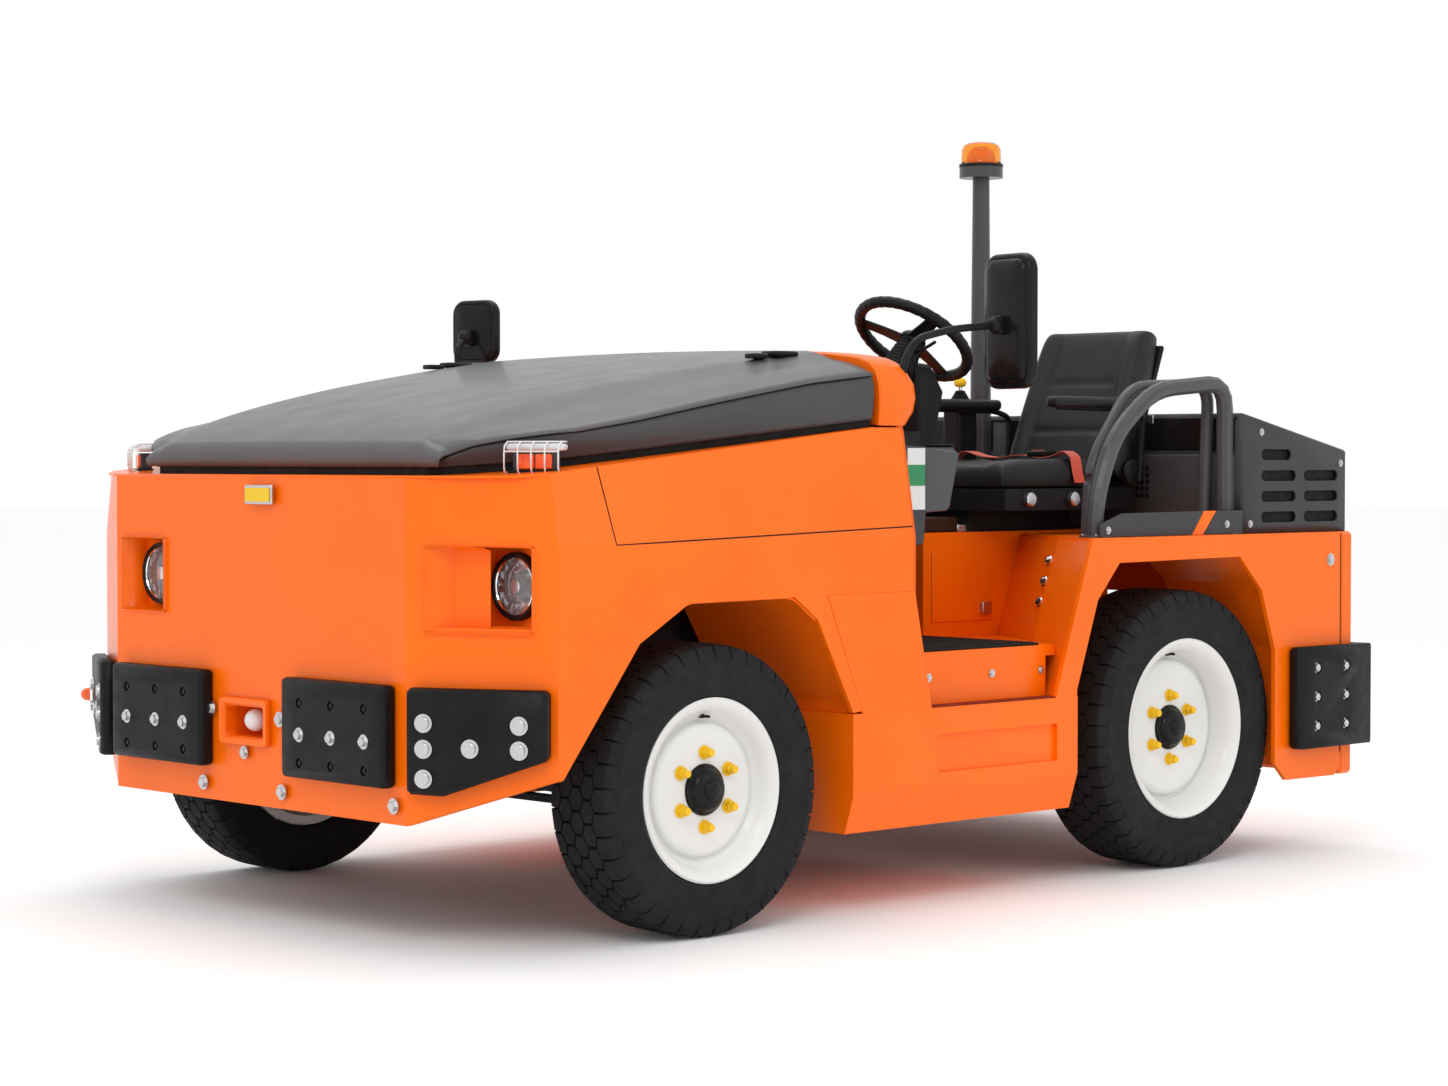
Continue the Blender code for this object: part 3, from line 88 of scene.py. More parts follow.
TREAD_DEPTH = 0.011
NUT_CIRCLE = 0.0956
RIM_FLANGE = {"F": 0.2377, "R": 0.2695}
RIM_INSET = 0.005  # from the tyre's side to the rim's
HOOD_SEAT_Z = HOOD_LOW.z
SIDES = (("L", 1), ("R", -1))


# Materials


def socket(node, name, value):
    node.inputs[name].default_value = value


def new_material(name, colour, roughness, metallic=0.0, **extra):
    """A Principled material. Extra sockets are named with underscores for spaces."""
    made = bpy.data.materials.new(name)
    made.use_nodes = True
    shader = made.node_tree.nodes["Principled BSDF"]
    socket(shader, "Base Color", (*colour, 1))
    socket(shader, "Roughness", roughness)
    socket(shader, "Metallic", metallic)
    for key, value in extra.items():
        socket(shader, key.replace("_", " "), value)
    return made


def object_texture(made, kind, **inputs):
    """A texture node in object space."""
    tree = made.node_tree
    place = tree.nodes.new("ShaderNodeTexCoord")
    texture = tree.nodes.new(kind)
    for key, value in inputs.items():
        socket(texture, key, value)
    tree.links.new(place.outputs["Object"], texture.inputs["Vector"])
    return texture


def noise(made, scale, detail=3.0, roughness=0.5, stretch=(1, 1, 1)):
    """A noise texture in object space, which may be stretched along an axis."""
    tree = made.node_tree
    place = tree.nodes.new("ShaderNodeTexCoord")
    mapping = tree.nodes.new("ShaderNodeMapping")
    socket(mapping, "Scale", stretch)
    texture = tree.nodes.new("ShaderNodeTexNoise")
    socket(texture, "Scale", scale)
    socket(texture, "Detail", detail)
    socket(texture, "Roughness", roughness)
    tree.links.new(place.outputs["Object"], mapping.inputs["Vector"])
    tree.links.new(mapping.outputs["Vector"], texture.inputs["Vector"])
    return texture.outputs["Fac"]


def spread(made, value, low, high, out_low, out_high):
    """Maps a value's range from low..high to out_low..out_high."""
    node = made.node_tree.nodes.new("ShaderNodeMapRange")
    socket(node, "From Min", low)
    socket(node, "From Max", high)
    socket(node, "To Min", out_low)
    socket(node, "To Max", out_high)
    made.node_tree.links.new(value, node.inputs["Value"])
    return node.outputs["Result"]


def vary_colour(made, factor, first, second):
    """Mixes the base colour from first to second by factor."""
    tree = made.node_tree
    mix = tree.nodes.new("ShaderNodeMix")
    mix.data_type = "RGBA"
    socket(mix, "A", (*first, 1))
    socket(mix, "B", (*second, 1))
    tree.links.new(factor, mix.inputs["Factor"])
    tree.links.new(mix.outputs["Result"], tree.nodes["Principled BSDF"].inputs["Base Color"])


def vary_roughness(made, value):
    shader = made.node_tree.nodes["Principled BSDF"]
    made.node_tree.links.new(value, shader.inputs["Roughness"])


def bumped(made, height, strength, distance=0.001):
    tree = made.node_tree
    bump = tree.nodes.new("ShaderNodeBump")
    socket(bump, "Strength", strength)
    socket(bump, "Distance", distance)
    tree.links.new(height, bump.inputs["Height"])
    tree.links.new(bump.outputs["Normal"], tree.nodes["Principled BSDF"].inputs["Normal"])


def shade(colour, factor):
    return tuple(channel * factor for channel in colour)


def paint(name, colour, roughness, coat=0.0, grain=220, depth=0.06):
    """Sprayed paint: a faint ripple in the gloss and slight unevenness in colour and shine."""
    made = new_material(
        name, colour, roughness, Coat_Weight=coat, Coat_Roughness=0.12, Specular_IOR_Level=0.22
    )
    broad = noise(made, 2.2, 4)
    vary_colour(made, spread(made, broad, 0.35, 0.65, 0, 1), shade(colour, 0.94), shade(colour, 1.04))
    vary_roughness(made, spread(made, noise(made, 9, 5), 0.3, 0.7, roughness * 0.88, roughness * 1.15))
    bumped(made, noise(made, grain, 2), depth, 0.0006)
    return made


def grained(name, colour, roughness, scale=420, strength=0.25, distance=0.0006):
    """Moulded plastic or rubber with a fine grain."""
    made = new_material(name, colour, roughness, Specular_IOR_Level=0.16)
    vary_colour(
        made, spread(made, noise(made, 14, 5), 0.3, 0.7, 0, 1), shade(colour, 0.75), shade(colour, 1.3)
    )
    vary_roughness(
        made, spread(made, noise(made, 30, 4), 0.3, 0.7, roughness * 0.85, min(1, roughness * 1.2))
    )
    bumped(made, noise(made, scale, 3), strength, distance)
    return made


def brushed(name, colour, roughness):
    """Metal with a fine directional grain."""
    made = new_material(name, colour, roughness, 1.0)
    grain = noise(made, 160, 4, stretch=(1, 1, 12))
    vary_roughness(made, spread(made, grain, 0.3, 0.7, roughness * 0.7, roughness * 1.4))
    bumped(made, grain, 0.05, 0.0003)
    return made


def vinyl_material():
    """Black seat vinyl with a leather-like cell grain."""
    made = new_material("seat_vinyl", (0.007, 0.007, 0.008), 0.36, Specular_IOR_Level=0.3)
    cells = object_texture(made, "ShaderNodeTexVoronoi", Scale=330)
    cells.feature = "DISTANCE_TO_EDGE"
    bumped(made, spread(made, cells.outputs["Distance"], 0, 0.25, 0, 1), 0.35, 0.0005)
    vary_roughness(made, spread(made, noise(made, 12, 5), 0.3, 0.7, 0.34, 0.52))
    return made


def tread_material():
    """Tyre rubber with a trace of dust."""
    made = grained("tyre_rubber", (0.020, 0.020, 0.021), 0.72, 260, 0.4, 0.0008)
    dust = spread(made, noise(made, 6, 8, 0.7), 0.45, 0.75, 0, 0.35)
    vary_colour(made, dust, (0.012, 0.012, 0.013), (0.030, 0.029, 0.027))
    return made


def webbing_material():
    """Woven red-orange belt webbing."""
    made = new_material("belt_webbing", (0.62, 0.05, 0.01), 0.7, Sheen_Weight=0.3)
    weave = object_texture(made, "ShaderNodeTexWave", Scale=190, Distortion=0.4)
    bumped(made, weave.outputs["Fac"], 0.6, 0.0008)
    vary_colour(made, weave.outputs["Fac"], (0.50, 0.035, 0.008), (0.70, 0.07, 0.015))
    return made


def clear_material(name, colour, roughness=0.04):
    made = new_material(name, colour, roughness, Transmission_Weight=0.92, IOR=1.45)
    bumped(made, noise(made, 60, 2), 0.03, 0.0004)
    return made


ORANGE = paint("orange_gloss", (0.92, 0.142, 0.0002), 0.30, coat=0.10)
# The body orange darkened as painted shade for inner walls that stand in shadow, such as the firewall
SHADED_ORANGE = paint("orange_painted_shade", (0.75, 0.11, 0.0002), 0.45)
HOOD_GREY = paint("hood_satin_grey", (0.098, 0.098, 0.102), 0.42, coat=0.12, grain=520, depth=0.10)
SIDE_GREY = paint("hood_side_grey", (0.040, 0.040, 0.043), 0.46, coat=0.08, grain=520, depth=0.10)
CABINET_GREY = paint("cabinet_grey", (0.055, 0.055, 0.058), 0.5, grain=400, depth=0.12)
TUBE_GREY = paint("tube_satin_grey", (0.062, 0.062, 0.066), 0.34, coat=0.15, grain=380, depth=0.12)
WHITE = paint("rim_white", (0.72, 0.72, 0.70), 0.32, coat=0.25)
LINE_WHITE = paint("strip_white", (0.62, 0.63, 0.62), 0.4)
LINE_GREEN = paint("strip_green", (0.03, 0.22, 0.09), 0.4)
YELLOW = paint("yellow_gloss", (0.85, 0.50, 0.01), 0.35)
GASKET = grained("gasket_rubber", (0.006, 0.006, 0.006), 0.62)
BLACK = grained("black_plastic", (0.008, 0.008, 0.009), 0.42)
GLOSS_BLACK = grained("black_gloss_plastic", (0.008, 0.008, 0.009), 0.22, 300, 0.05)
PAD = grained("pad_rubber", (0.006, 0.006, 0.0065), 0.42, 180, 0.25, 0.0008)
MAT = grained("floor_mat", (0.012, 0.012, 0.012), 0.7, 300, 0.4)
TREAD_RED = grained("step_tread_red", (0.20, 0.022, 0.008), 0.75, 240, 0.9, 0.0015)
IRON = grained("chassis_iron", (0.028, 0.028, 0.030), 0.62, 90, 0.35, 0.001)
BROWN = grained("brown_block", (0.035, 0.014, 0.008), 0.55)
STEEL = brushed("bolt_steel", (0.56, 0.56, 0.57), 0.30)
CHROME = new_material("chrome_bright", (0.82, 0.82, 0.84), 0.06, 1.0)
REFLECTOR = new_material("lamp_mirror", (0.74, 0.75, 0.77), 0.14, 1.0)
MIRROR = new_material("mirror_glass", (0.85, 0.87, 0.88), 0.015, 1.0)
VINYL = vinyl_material()
TYRE = tread_material()
WEBBING = webbing_material()
AMBER = clear_material("amber_lens", (1.0, 0.34, 0.006), 0.10)
AMBER_GLOW = paint("amber_back", (1.0, 0.42, 0.01), 0.3)
CLEAR = clear_material("clear_lens", (0.96, 0.97, 0.98))
GUARD = paint("guard_white", (0.70, 0.70, 0.70), 0.28, coat=0.3)
AMBER_RED = new_material("amber_moulded", (0.85, 0.13, 0.001), 0.18, Coat_Weight=0.2)
vary_colour(
    AMBER_RED, spread(AMBER_RED, noise(AMBER_RED, 40, 3), 0.35, 0.65, 0, 1), (0.80, 0.07, 0.003),
    (0.95, 0.15, 0.006)
)
AMBER_YELLOW = paint("reflector_yellow", (0.78, 0.50, 0.0), 0.25, coat=0.3)
CLEAR_WHITE = paint("clear_cover", (0.62, 0.64, 0.66), 0.12, coat=0.5)
HOOD_SIDE_GREY = paint("hood_side_paint", (0.052, 0.052, 0.055), 0.44, coat=0.10, grain=520, depth=0.10)
for bright in (CHROME, REFLECTOR, MIRROR):
    vary_roughness(bright, spread(bright, noise(bright, 25, 3), 0.3, 0.7, 0.03, 0.12))


# Helpers


def linked(name, data):
    obj = bpy.data.objects.new(name, data)
    bpy.context.scene.collection.objects.link(obj)
    return obj


def linked_mesh(name, shape):
    mesh = bpy.data.meshes.new(name)
    bmesh.ops.recalc_face_normals(shape, faces=shape.faces)
    shape.to_mesh(mesh)
    shape.free()
    return linked(name, mesh)


def finished(obj, material, body, smooth_angle=35):
    """Gives a new piece its material, smooth shading and the body that it rides on."""
    obj.data.materials.clear()
    obj.data.materials.append(material)
    if obj.type == "MESH":
        for face in obj.data.polygons:
            face.use_smooth = True
        obj.data.set_sharp_from_angle(angle=math.radians(smooth_angle))
    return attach(obj, body)


def from_bmesh(name, shape, material, body="chassis", location=(0, 0, 0), turn=None, smooth_angle=35):
    obj = linked_mesh(name, shape)
    obj.matrix_world = Matrix.Translation(location) @ (turn or Matrix.Identity(4))
    return finished(obj, material, body, smooth_angle)


def rounded(obj, width, segments=2):
    modifier = obj.modifiers.new("rounded", "BEVEL")
    modifier.width = width
    modifier.segments = segments
    modifier.limit_method = "ANGLE"
    modifier.angle_limit = math.radians(35)
    modifier.harden_normals = False
    return obj


def add_box(shape, low, high):
    """Adds a box between two corners to a bmesh."""
    low, high = Vector(low), Vector(high)
    middle = (low + high) / 2
    place = Matrix.Translation(middle) @ Matrix.Diagonal((*(high - low), 1))
    bmesh.ops.create_cube(shape, size=1, matrix=place)


def box_piece(name, low, high, material, body="chassis", radius=0.004, segments=2):
    shape = bmesh.new()
    low, high = Vector(low), Vector(high)
    middle = (low + high) / 2
    add_box(shape, low - middle, high - middle)
    obj = from_bmesh(name, shape, material, body, middle, smooth_angle=50)
    return rounded(obj, radius, segments) if radius else obj


def boxes_piece(name, spans, material, radius):
    """Several boxes in one piece, such as a row of ribs."""
    shape = bmesh.new()
    for low, high in spans:
        add_box(shape, low, high)
    return rounded(from_bmesh(name, shape, material, smooth_angle=50), radius, 1)


def axis_turn(direction):
    """The rotation that takes +Z to a direction."""
    return Vector(direction).normalized().to_track_quat("Z", "Y").to_matrix().to_4x4()


def add_lathe(shape, profile, steps=32, place=None):
    """Adds a shape turned about +Z from (radius, height) points to a bmesh."""
    place = place or Matrix.Identity(4)
    rings = []
    for radius, height in profile:
        if radius < 1e-6:
            rings.append([shape.verts.new(place @ Vector((0, 0, height)))])
            continue
        ring = []
        for i in range(steps):
            angle = 2 * math.pi * i / steps
            point = Vector((radius * math.cos(angle), radius * math.sin(angle), height))
            ring.append(shape.verts.new(place @ point))
        rings.append(ring)
    for ring, following in zip(rings, rings[1:]):
        for i in range(steps):
            k = (i + 1) % steps
            if len(ring) == 1 and len(following) == 1:
                continue
            if len(ring) == 1:
                shape.faces.new((ring[0], following[i], following[k]))
            elif len(following) == 1:
                shape.faces.new((ring[i], following[0], ring[k]))
            else:
                shape.faces.new((ring[i], following[i], following[k], ring[k]))


def lathe(
    name, profile, material, body="chassis", location=(0, 0, 0), direction=(0, 0, 1), steps=48, angle=35
):
    shape = bmesh.new()
    add_lathe(shape, profile, steps)
    return from_bmesh(name, shape, material, body, location, axis_turn(direction), angle)


def curve_route(corners, radius, steps=6):
    """Corners of a bent tube with each inner corner rounded."""
    corners = [Vector(corner) for corner in corners]
    route = [corners[0]]
    for before, corner, after in zip(corners, corners[1:], corners[2:]):
        start = corner + (before - corner).normalized() * radius
        end = corner + (after - corner).normalized() * radius
        for i in range(steps + 1):
            t = i / steps
            route.append(start * (1 - t) ** 2 + corner * 2 * t * (1 - t) + end * t**2)
    route.append(corners[-1])
    return route


def tube(name, route, radius, material, body="chassis", resolution=6):
    """A round bar along a route, as a mesh."""
    curve = bpy.data.curves.new(name, "CURVE")
    curve.dimensions = "3D"
    curve.bevel_depth = radius
    curve.bevel_resolution = resolution
    curve.use_fill_caps = True
    spline = curve.splines.new("POLY")
    spline.points.add(len(route) - 1)
    for point, place in zip(spline.points, route):
        point.co = (*place, 1)
    holder = linked(name + "_curve", curve)
    graph = bpy.context.evaluated_depsgraph_get()
    mesh = bpy.data.meshes.new_from_object(holder.evaluated_get(graph))
    bpy.data.objects.remove(holder, do_unlink=True)
    return finished(linked(name, mesh), material, body, 60)


def bolts(name, places, direction, radius, height, material, body="chassis", sides=6):
    """Hexagon bolt heads with washers, all in one piece. Each place is on the surface they sit on."""
    shape = bmesh.new()
    turn = axis_turn(direction)
    for place in places:
        at = Matrix.Translation(place) @ turn
        add_lathe(shape, [(radius * 1.5, 0), (radius * 1.5, height * 0.2), (0, height * 0.2)], 20, at)
        head = [(radius, 0), (radius, height * 0.9), (radius * 0.88, height), (0, height)]
        add_lathe(shape, head, sides, at)
    return from_bmesh(name, shape, material, body, smooth_angle=25)


def hidden(name, shape):
    """A cutter, which shows in no render."""
    obj = linked_mesh(name, shape)
    obj.hide_render = True
    obj.display_type = "WIRE"
    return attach(obj, "chassis")


def carve(obj, tool):
    modifier = obj.modifiers.new(tool.name, "BOOLEAN")
    modifier.operation = "DIFFERENCE"
    modifier.solver = "EXACT"
    modifier.object = tool
    return obj


def keep(name, material, edge=0.0, segments=2):
    """A CAD node that keeps its shape. It gets rounded edges and a procedural material."""
    obj = nodes[name]
    obj.data.materials.clear()
    obj.data.materials.append(material)
    for face in obj.data.polygons:
        face.use_smooth = True
    obj.data.set_sharp_from_angle(angle=math.radians(30))
    if edge:
        rounded(obj, edge, segments)
    return obj


def skin(shape, rows, closed=False, capped=False):
    """Joins rows of bmesh vertices by quads. Closed rows join end to start, and caps close both ends."""
    for row, following in zip(rows, rows[1:]):
        for i in range(len(row) - (not closed)):
            k = (i + 1) % len(row)
            shape.faces.new((row[i], row[k], following[k], following[i]))
    if capped:
        shape.faces.new(rows[0])
        shape.faces.new(rows[-1][::-1])


def mirrored(half):
    """Both halves of a line whose points start with x, from the half that starts at or near x = 0."""
    return [(-x, *rest) for x, *rest in reversed(half[1:])] + half


def direction_at(points, i):
    """The unit direction of a line at one of its points."""
    after = Vector(points[min(len(points) - 1, i + 1)])
    return (after - Vector(points[max(0, i - 1)])).normalized()


def sheet(obj, thickness, offset=-1):
    solid = obj.modifiers.new("sheet", "SOLIDIFY")
    solid.thickness = thickness
    solid.offset = offset


def face_centre(node):
    """The middle of a node's front face."""
    low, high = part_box(node)
    return Vector(((low.x + high.x) / 2, low.y, (low.z + high.z) / 2))


def prism(name, outline, x0, x1, material, radius=0.0015):
    """A plate with a (y, z) outline between two x planes."""
    shape = bmesh.new()
    near = [shape.verts.new((x0, y, z)) for y, z in outline]
    far = [shape.verts.new((x1, y, z)) for y, z in outline]
    shape.faces.new(near)
    shape.faces.new(far[::-1])
    for i in range(len(outline)):
        k = (i + 1) % len(outline)
        shape.faces.new((near[i], near[k], far[k], far[i]))
    return rounded(from_bmesh(name, shape, material, smooth_angle=30), radius)


def rounded_rectangle(half_x, half_z, radius, steps=5):
    """Points of a rounded rectangle about the origin."""
    points = []
    for sign_x, sign_z, start in ((1, 1, 0), (-1, 1, 90), (-1, -1, 180), (1, -1, 270)):
        for i in range(steps + 1):
            a = math.radians(start + 90 * i / steps)
            points.append((sign_x * (half_x - radius) + radius * math.cos(a),
                           sign_z * (half_z - radius) + radius * math.sin(a)))
    return points


def capsule(y0, y1, z, half, steps=8):
    """Points (y, z) of a slot with round ends."""
    points = []
    for centre, start in ((y1 - half, -90), (y0 + half, 90)):
        for i in range(steps + 1):
            a = math.radians(start + 180 * i / steps)
            points.append((centre + half * math.cos(a), z + half * math.sin(a)))
    return points


def loft_rings(shape, rings, cap_first=False, cap_last=False):
    """Joins rings of points, all with the same count, by quads."""
    made = [[shape.verts.new(point) for point in ring] for ring in rings]
    skin(shape, made, closed=True)
    if cap_first:
        shape.faces.new(made[0])
    if cap_last:
        shape.faces.new(made[-1][::-1])


def chamfer_point(x, offset=0.0):
    """A point (x, y) on the left front corner facet, moved outwards by offset along its normal."""
    share = (x - FACET_X) / CHAMFER_RUN
    normal = Vector((CHAMFER_DEPTH, -CHAMFER_RUN)).normalized()
    return Vector((x, NOSE_Y + share * CHAMFER_DEPTH)) + normal * offset


def seat_line_z(y):
    """Height of the hood's lower edge, which rises towards the rear."""
    return HOOD_SEAT_Z + SEAT_LINE_SLOPE * max(0.0, y - NOSE_Y - SEAT_LINE_START)


def between(points, x):
    """Straight-line interpolation through (x, value) points in rising x."""
    if x <= points[0][0]:
        return points[0][1]
    for (x0, v0), (x1, v1) in zip(points, points[1:]):
        if x <= x1:
            return v0 + (v1 - v0) * (x - x0) / (x1 - x0)
    return points[-1][1]


def smooth(t):
    t = max(0.0, min(1.0, t))
    return t * t * (3 - 2 * t)


# Hood

GASKET_HEIGHT = 0.020
CROWN_RISE = 0.347
HOOD_LENGTH = HOOD_HIGH.y - HOOD_LOW.y
HOOD_FRONT_Y = NOSE_Y + 0.111
HOOD_NOSE_RUN = 0.028
# The crease between the hood's top and side: it sweeps out over the turn lamp, then runs back. (y, x, z)
CREASE = [
    (-1.624, 0.604, 1.206),
    (-1.615, 0.640, 1.225),
    (-1.575, 0.720, 1.254),
    (-1.510, 0.800, 1.2725),
    (-1.430, 0.860, 1.2855),
    (-1.380, 0.880, 1.2905),
    (-1.185, 0.894, 1.320),
    (-0.950, 0.911, 1.364),
    (-0.722, 0.927, 1.4035),
    (-0.608, 0.935, 1.4225),
    (-0.391, 0.946, 1.446),
]
# The hood's lower edge in plan: (y, x)
HOOD_FOOT = [
    (-1.624, 0.604),
    (-1.565, 0.700),
    (-1.510, 0.768),
    (-1.440, 0.825),
    (-1.380, 0.856),
    (-1.185, 0.886),
    (-0.722, 0.922),
    (-0.391, 0.944),
]


def crease_at(y):
    xs = [(point[0], point[1]) for point in CREASE]
    zs = [(point[0], point[2]) for point in CREASE]
    return between(xs, y), between(zs, y)


def hood_lower_x(y):
    """Half width of the hood's lower edge. It stands back behind the turn lamp."""
    return between(HOOD_FOOT, y)


def crown_z(y):
    """Height of the hood's centre line."""
    return HOOD_SEAT_Z + CROWN_RISE * math.sqrt(max(0.0, y - HOOD_LOW.y) / HOOD_LENGTH)


def hood_top_section(y):
    """Points (x, z) across the hood's top: a cambered panel, a soft shoulder and a slope to the crease."""
    share = max(0.0, (y - HOOD_FRONT_Y) / (HOOD_HIGH.y - HOOD_FRONT_Y))
    crease_x, crease_z = crease_at(y)
    crown = max(crown_z(y), crease_z + 0.004)
    panel_x = min(0.56 + 0.14 * share, crease_x - 0.075)
    soft_x = panel_x + (crease_x - panel_x) * 0.46
    soft_z = crease_z + 0.50 * (crown - crease_z)
    camber = 0.008 * share + 0.003
    points = [(panel_x * i / 8, crown - camber * (i / 8) ** 2) for i in range(9)]
    edge_z = points[-1][1]
    for i in range(1, 8):
        t = i / 7
        fall = 0.35 * t + 0.65 * smooth(t)
        points.append((panel_x + (soft_x - panel_x) * t, edge_z + (soft_z - edge_z) * fall))
    for i in range(1, 9):
        t = i / 8
        bulge = 0.006 * math.sin(math.pi * t)
        points.append((soft_x + (crease_x - soft_x) * t, soft_z + (crease_z - soft_z) * t + bulge))
    return points


def resample(points, count):
    """The same line with count points at even spacing along it."""
    lengths = [0.0]
    for (x0, z0), (x1, z1) in zip(points, points[1:]):
        lengths.append(lengths[-1] + math.hypot(x1 - x0, z1 - z0))
    xs = list(zip(lengths, [p[0] for p in points]))
    zs = list(zip(lengths, [p[1] for p in points]))
    places = [lengths[-1] * i / (count - 1) for i in range(count)]
    return [(between(xs, place), between(zs, place)) for place in places]


def hood_top():
    """The satin top skin, from crease to crease, with its rounded nose."""
    start = HOOD_FRONT_Y + HOOD_NOSE_RUN
    stations = [start + (HOOD_HIGH.y - HOOD_FRONT_Y - HOOD_NOSE_RUN) * (i / 64) ** 1.4 for i in range(65)]
    size = 30
    shape = bmesh.new()
    rows = []
    first = resample(hood_top_section(stations[0]), size)
    foot_z = HOOD_SEAT_Z + GASKET_HEIGHT
    nose = ((0.0, 0.0), (-0.003, 0.22), (-0.004, 0.45), (-0.001, 0.66), (0.007, 0.84), (0.016, 0.95))
    for back, rise in nose:
        section = []
        for x, z in first:
            pull = 1 - 0.018 * (1 - rise)
            section.append((x * pull, HOOD_FRONT_Y + back, foot_z + (z - foot_z) * rise))
        rows.append(section)
    for y in stations:
        rows.append([(x, y, z) for x, z in resample(hood_top_section(y), size)])
    rings = []
    for section in rows:
        rings.append([shape.verts.new(point) for point in mirrored(section)])
    skin(shape, rings)
    obj = from_bmesh("hood_top", shape, HOOD_GREY, "hood_shell", smooth_angle=60)
    if sum(face.normal.z * face.area for face in obj.data.polygons) < 0:
        obj.data.flip_normals()
    sheet(obj, 0.005)
    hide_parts("hood")


def hood_side(name, side):
    """The darker side skin under the crease. It tucks in behind the turn lamp."""
    stations = [HOOD_FRONT_Y + (HOOD_HIGH.y - HOOD_FRONT_Y) * (i / 60) ** 1.7 for i in range(61)]
    rows = []
    shape = bmesh.new()
    for y in stations:
        crease_x, crease_z = crease_at(y)
        low_x = hood_lower_x(y)
        low_z = seat_line_z(y) + GASKET_HEIGHT
        high_z = max(crease_z - 0.0055, low_z + 0.001)
        drop = high_z - low_z
        section = [(crease_x - 0.010, high_z + 0.001)]
        bow = min(0.012, drop * 0.35)
        for i in range(12):
            t = i / 11
            swell = bow * (1 - (2 * min(1, t * 1.15) - 1) ** 2) * 0.6
            edge = 0.006 * (1 - math.exp(-t * 9))
            x = crease_x - 0.0075 + edge + (low_x - crease_x) * t**0.8 + swell * 0.7
            section.append((x, high_z - drop * t))
        rows.append([shape.verts.new((side * x, y, z)) for x, z in section])
    skin(shape, rows)
    rear = rows[-1]
    inner = [shape.verts.new(vert.co - Vector((side * 0.03, 0, 0))) for vert in rear]
    skin(shape, [rear, inner])
    obj = from_bmesh(f"hood_side_{name}", shape, HOOD_SIDE_GREY, "hood_shell", smooth_angle=50)
    if sum(face.normal.x * side * face.area for face in obj.data.polygons) < 0:
        obj.data.flip_normals()
    sheet(obj, 0.004)
    route = [(side * (crease_at(y)[0] - 0.0035), y, crease_at(y)[1] - 0.0045) for y in stations[1:-1]]
    tube(f"hood_parting_{name}", route, 0.0022, GASKET, "hood_shell", resolution=2)


def hood_gasket():
    """The black rubber strip between the hood and the body."""
    half = [(0.0, HOOD_FRONT_Y + 0.007), (HOOD_FOOT[0][1] - 0.006, HOOD_FRONT_Y + 0.007)]
    half += [(x - 0.007, y + 0.004) for y, x in HOOD_FOOT[1:]]
    half[-1] = (half[-1][0], HOOD_HIGH.y - 0.003)
    shape = bmesh.new()
    rows = []
    for x, y in mirrored(half):
        low = seat_line_z(y) + 0.0006
        inner = Vector((x - math.copysign(0.016, x), y + (0.012 if abs(x) < 0.63 else 0.0)))
        points = [(x, y, low), (x, y, low + GASKET_HEIGHT), (*inner, low + GASKET_HEIGHT), (*inner, low)]
        rows.append([shape.verts.new(point) for point in points])
    skin(shape, rows, closed=True)
    from_bmesh("hood_gasket", shape, GASKET, "hood_shell", smooth_angle=30)


def hood_ledge():
    """The body's painted flange that the gasket closes on."""
    shape = bmesh.new()
    for side in (1, -1):
        rows = []
        for y in (NOSE_Y + 0.009, -1.66, -1.60, -1.545, -1.48, -1.30, -1.0, -0.7, HOOD_HIGH.y):
            lean = SIDE_LEAN * (seat_line_z(y) - SHOULDER_Z) + 0.003
            corner = (y - NOSE_Y) / CHAMFER_DEPTH * CHAMFER_RUN + FACET_X
            outer = min(corner - 0.014, BODY_X - lean - 0.003)
            inner = min(outer - 0.02, between(HOOD_FOOT, y) - 0.05) if y > HOOD_FRONT_Y + 0.05 else 0.0
            z = seat_line_z(y) - 0.0008
            rows.append([shape.verts.new((side * x, y, z - d)) for x, d in
                         ((outer, 0), (inner, 0), (inner, 0.006), (outer, 0.006))])
        skin(shape, rows, closed=True, capped=True)
    from_bmesh("hood_ledge", shape, ORANGE, smooth_angle=30)


def hood_latch(name, side):
    """A low black latch cover and its tab near the hood's rear corner."""
    y = -0.50
    top = hood_height_at(side * 0.70, y)
    box_piece(f"hood_latch_{name}", (side * 0.70 - 0.030, y - 0.045, top - 0.004),
              (side * 0.70 + 0.030, y + 0.045, top + 0.012), BLACK, "hood_shell", 0.007, segments=3)
    box_piece(f"hood_latch_tab_{name}", (side * 0.70 - 0.020, y - 0.115, top - 0.010),
              (side * 0.70 + 0.020, y - 0.060, top + 0.004), GLOSS_BLACK, "hood_shell", 0.004)


def hood_height_at(x, y):
    return between(hood_top_section(y), abs(x))


def hood():
    hood_top()
    for name, side in SIDES:
        hood_side(name, side)
        hood_latch(name, side)
    hood_gasket()
    hood_ledge()


# Wheels


def honeycomb_block(shape, angle, step, across, pitch, low, high):
    """A six-sided tread block of the honeycomb."""
    corners = [(0, 2 / 3), (0.5, 1 / 3), (0.5, -1 / 3), (0, -2 / 3), (-0.5, -1 / 3), (-0.5, 1 / 3)]
    rings = []
    for radius, shrink in ((low - 0.004, 0.955), (high, 0.895)):
        ring = []
        for u, v in corners:
            a = angle + u * step * shrink
            drop = 0.0015 * (abs(across + v * pitch) / (3 * pitch)) ** 2
            ring.append(shape.verts.new(((radius - drop) * math.cos(a), (radius - drop) * math.sin(a),
                                         across + v * pitch * shrink)))
        rings.append(ring)
    for i in range(6):
        k = (i + 1) % 6
        shape.faces.new((rings[0][i], rings[0][k], rings[1][k], rings[1][i]))
    shape.faces.new(rings[1])
    shape.faces.new(rings[0][::-1])


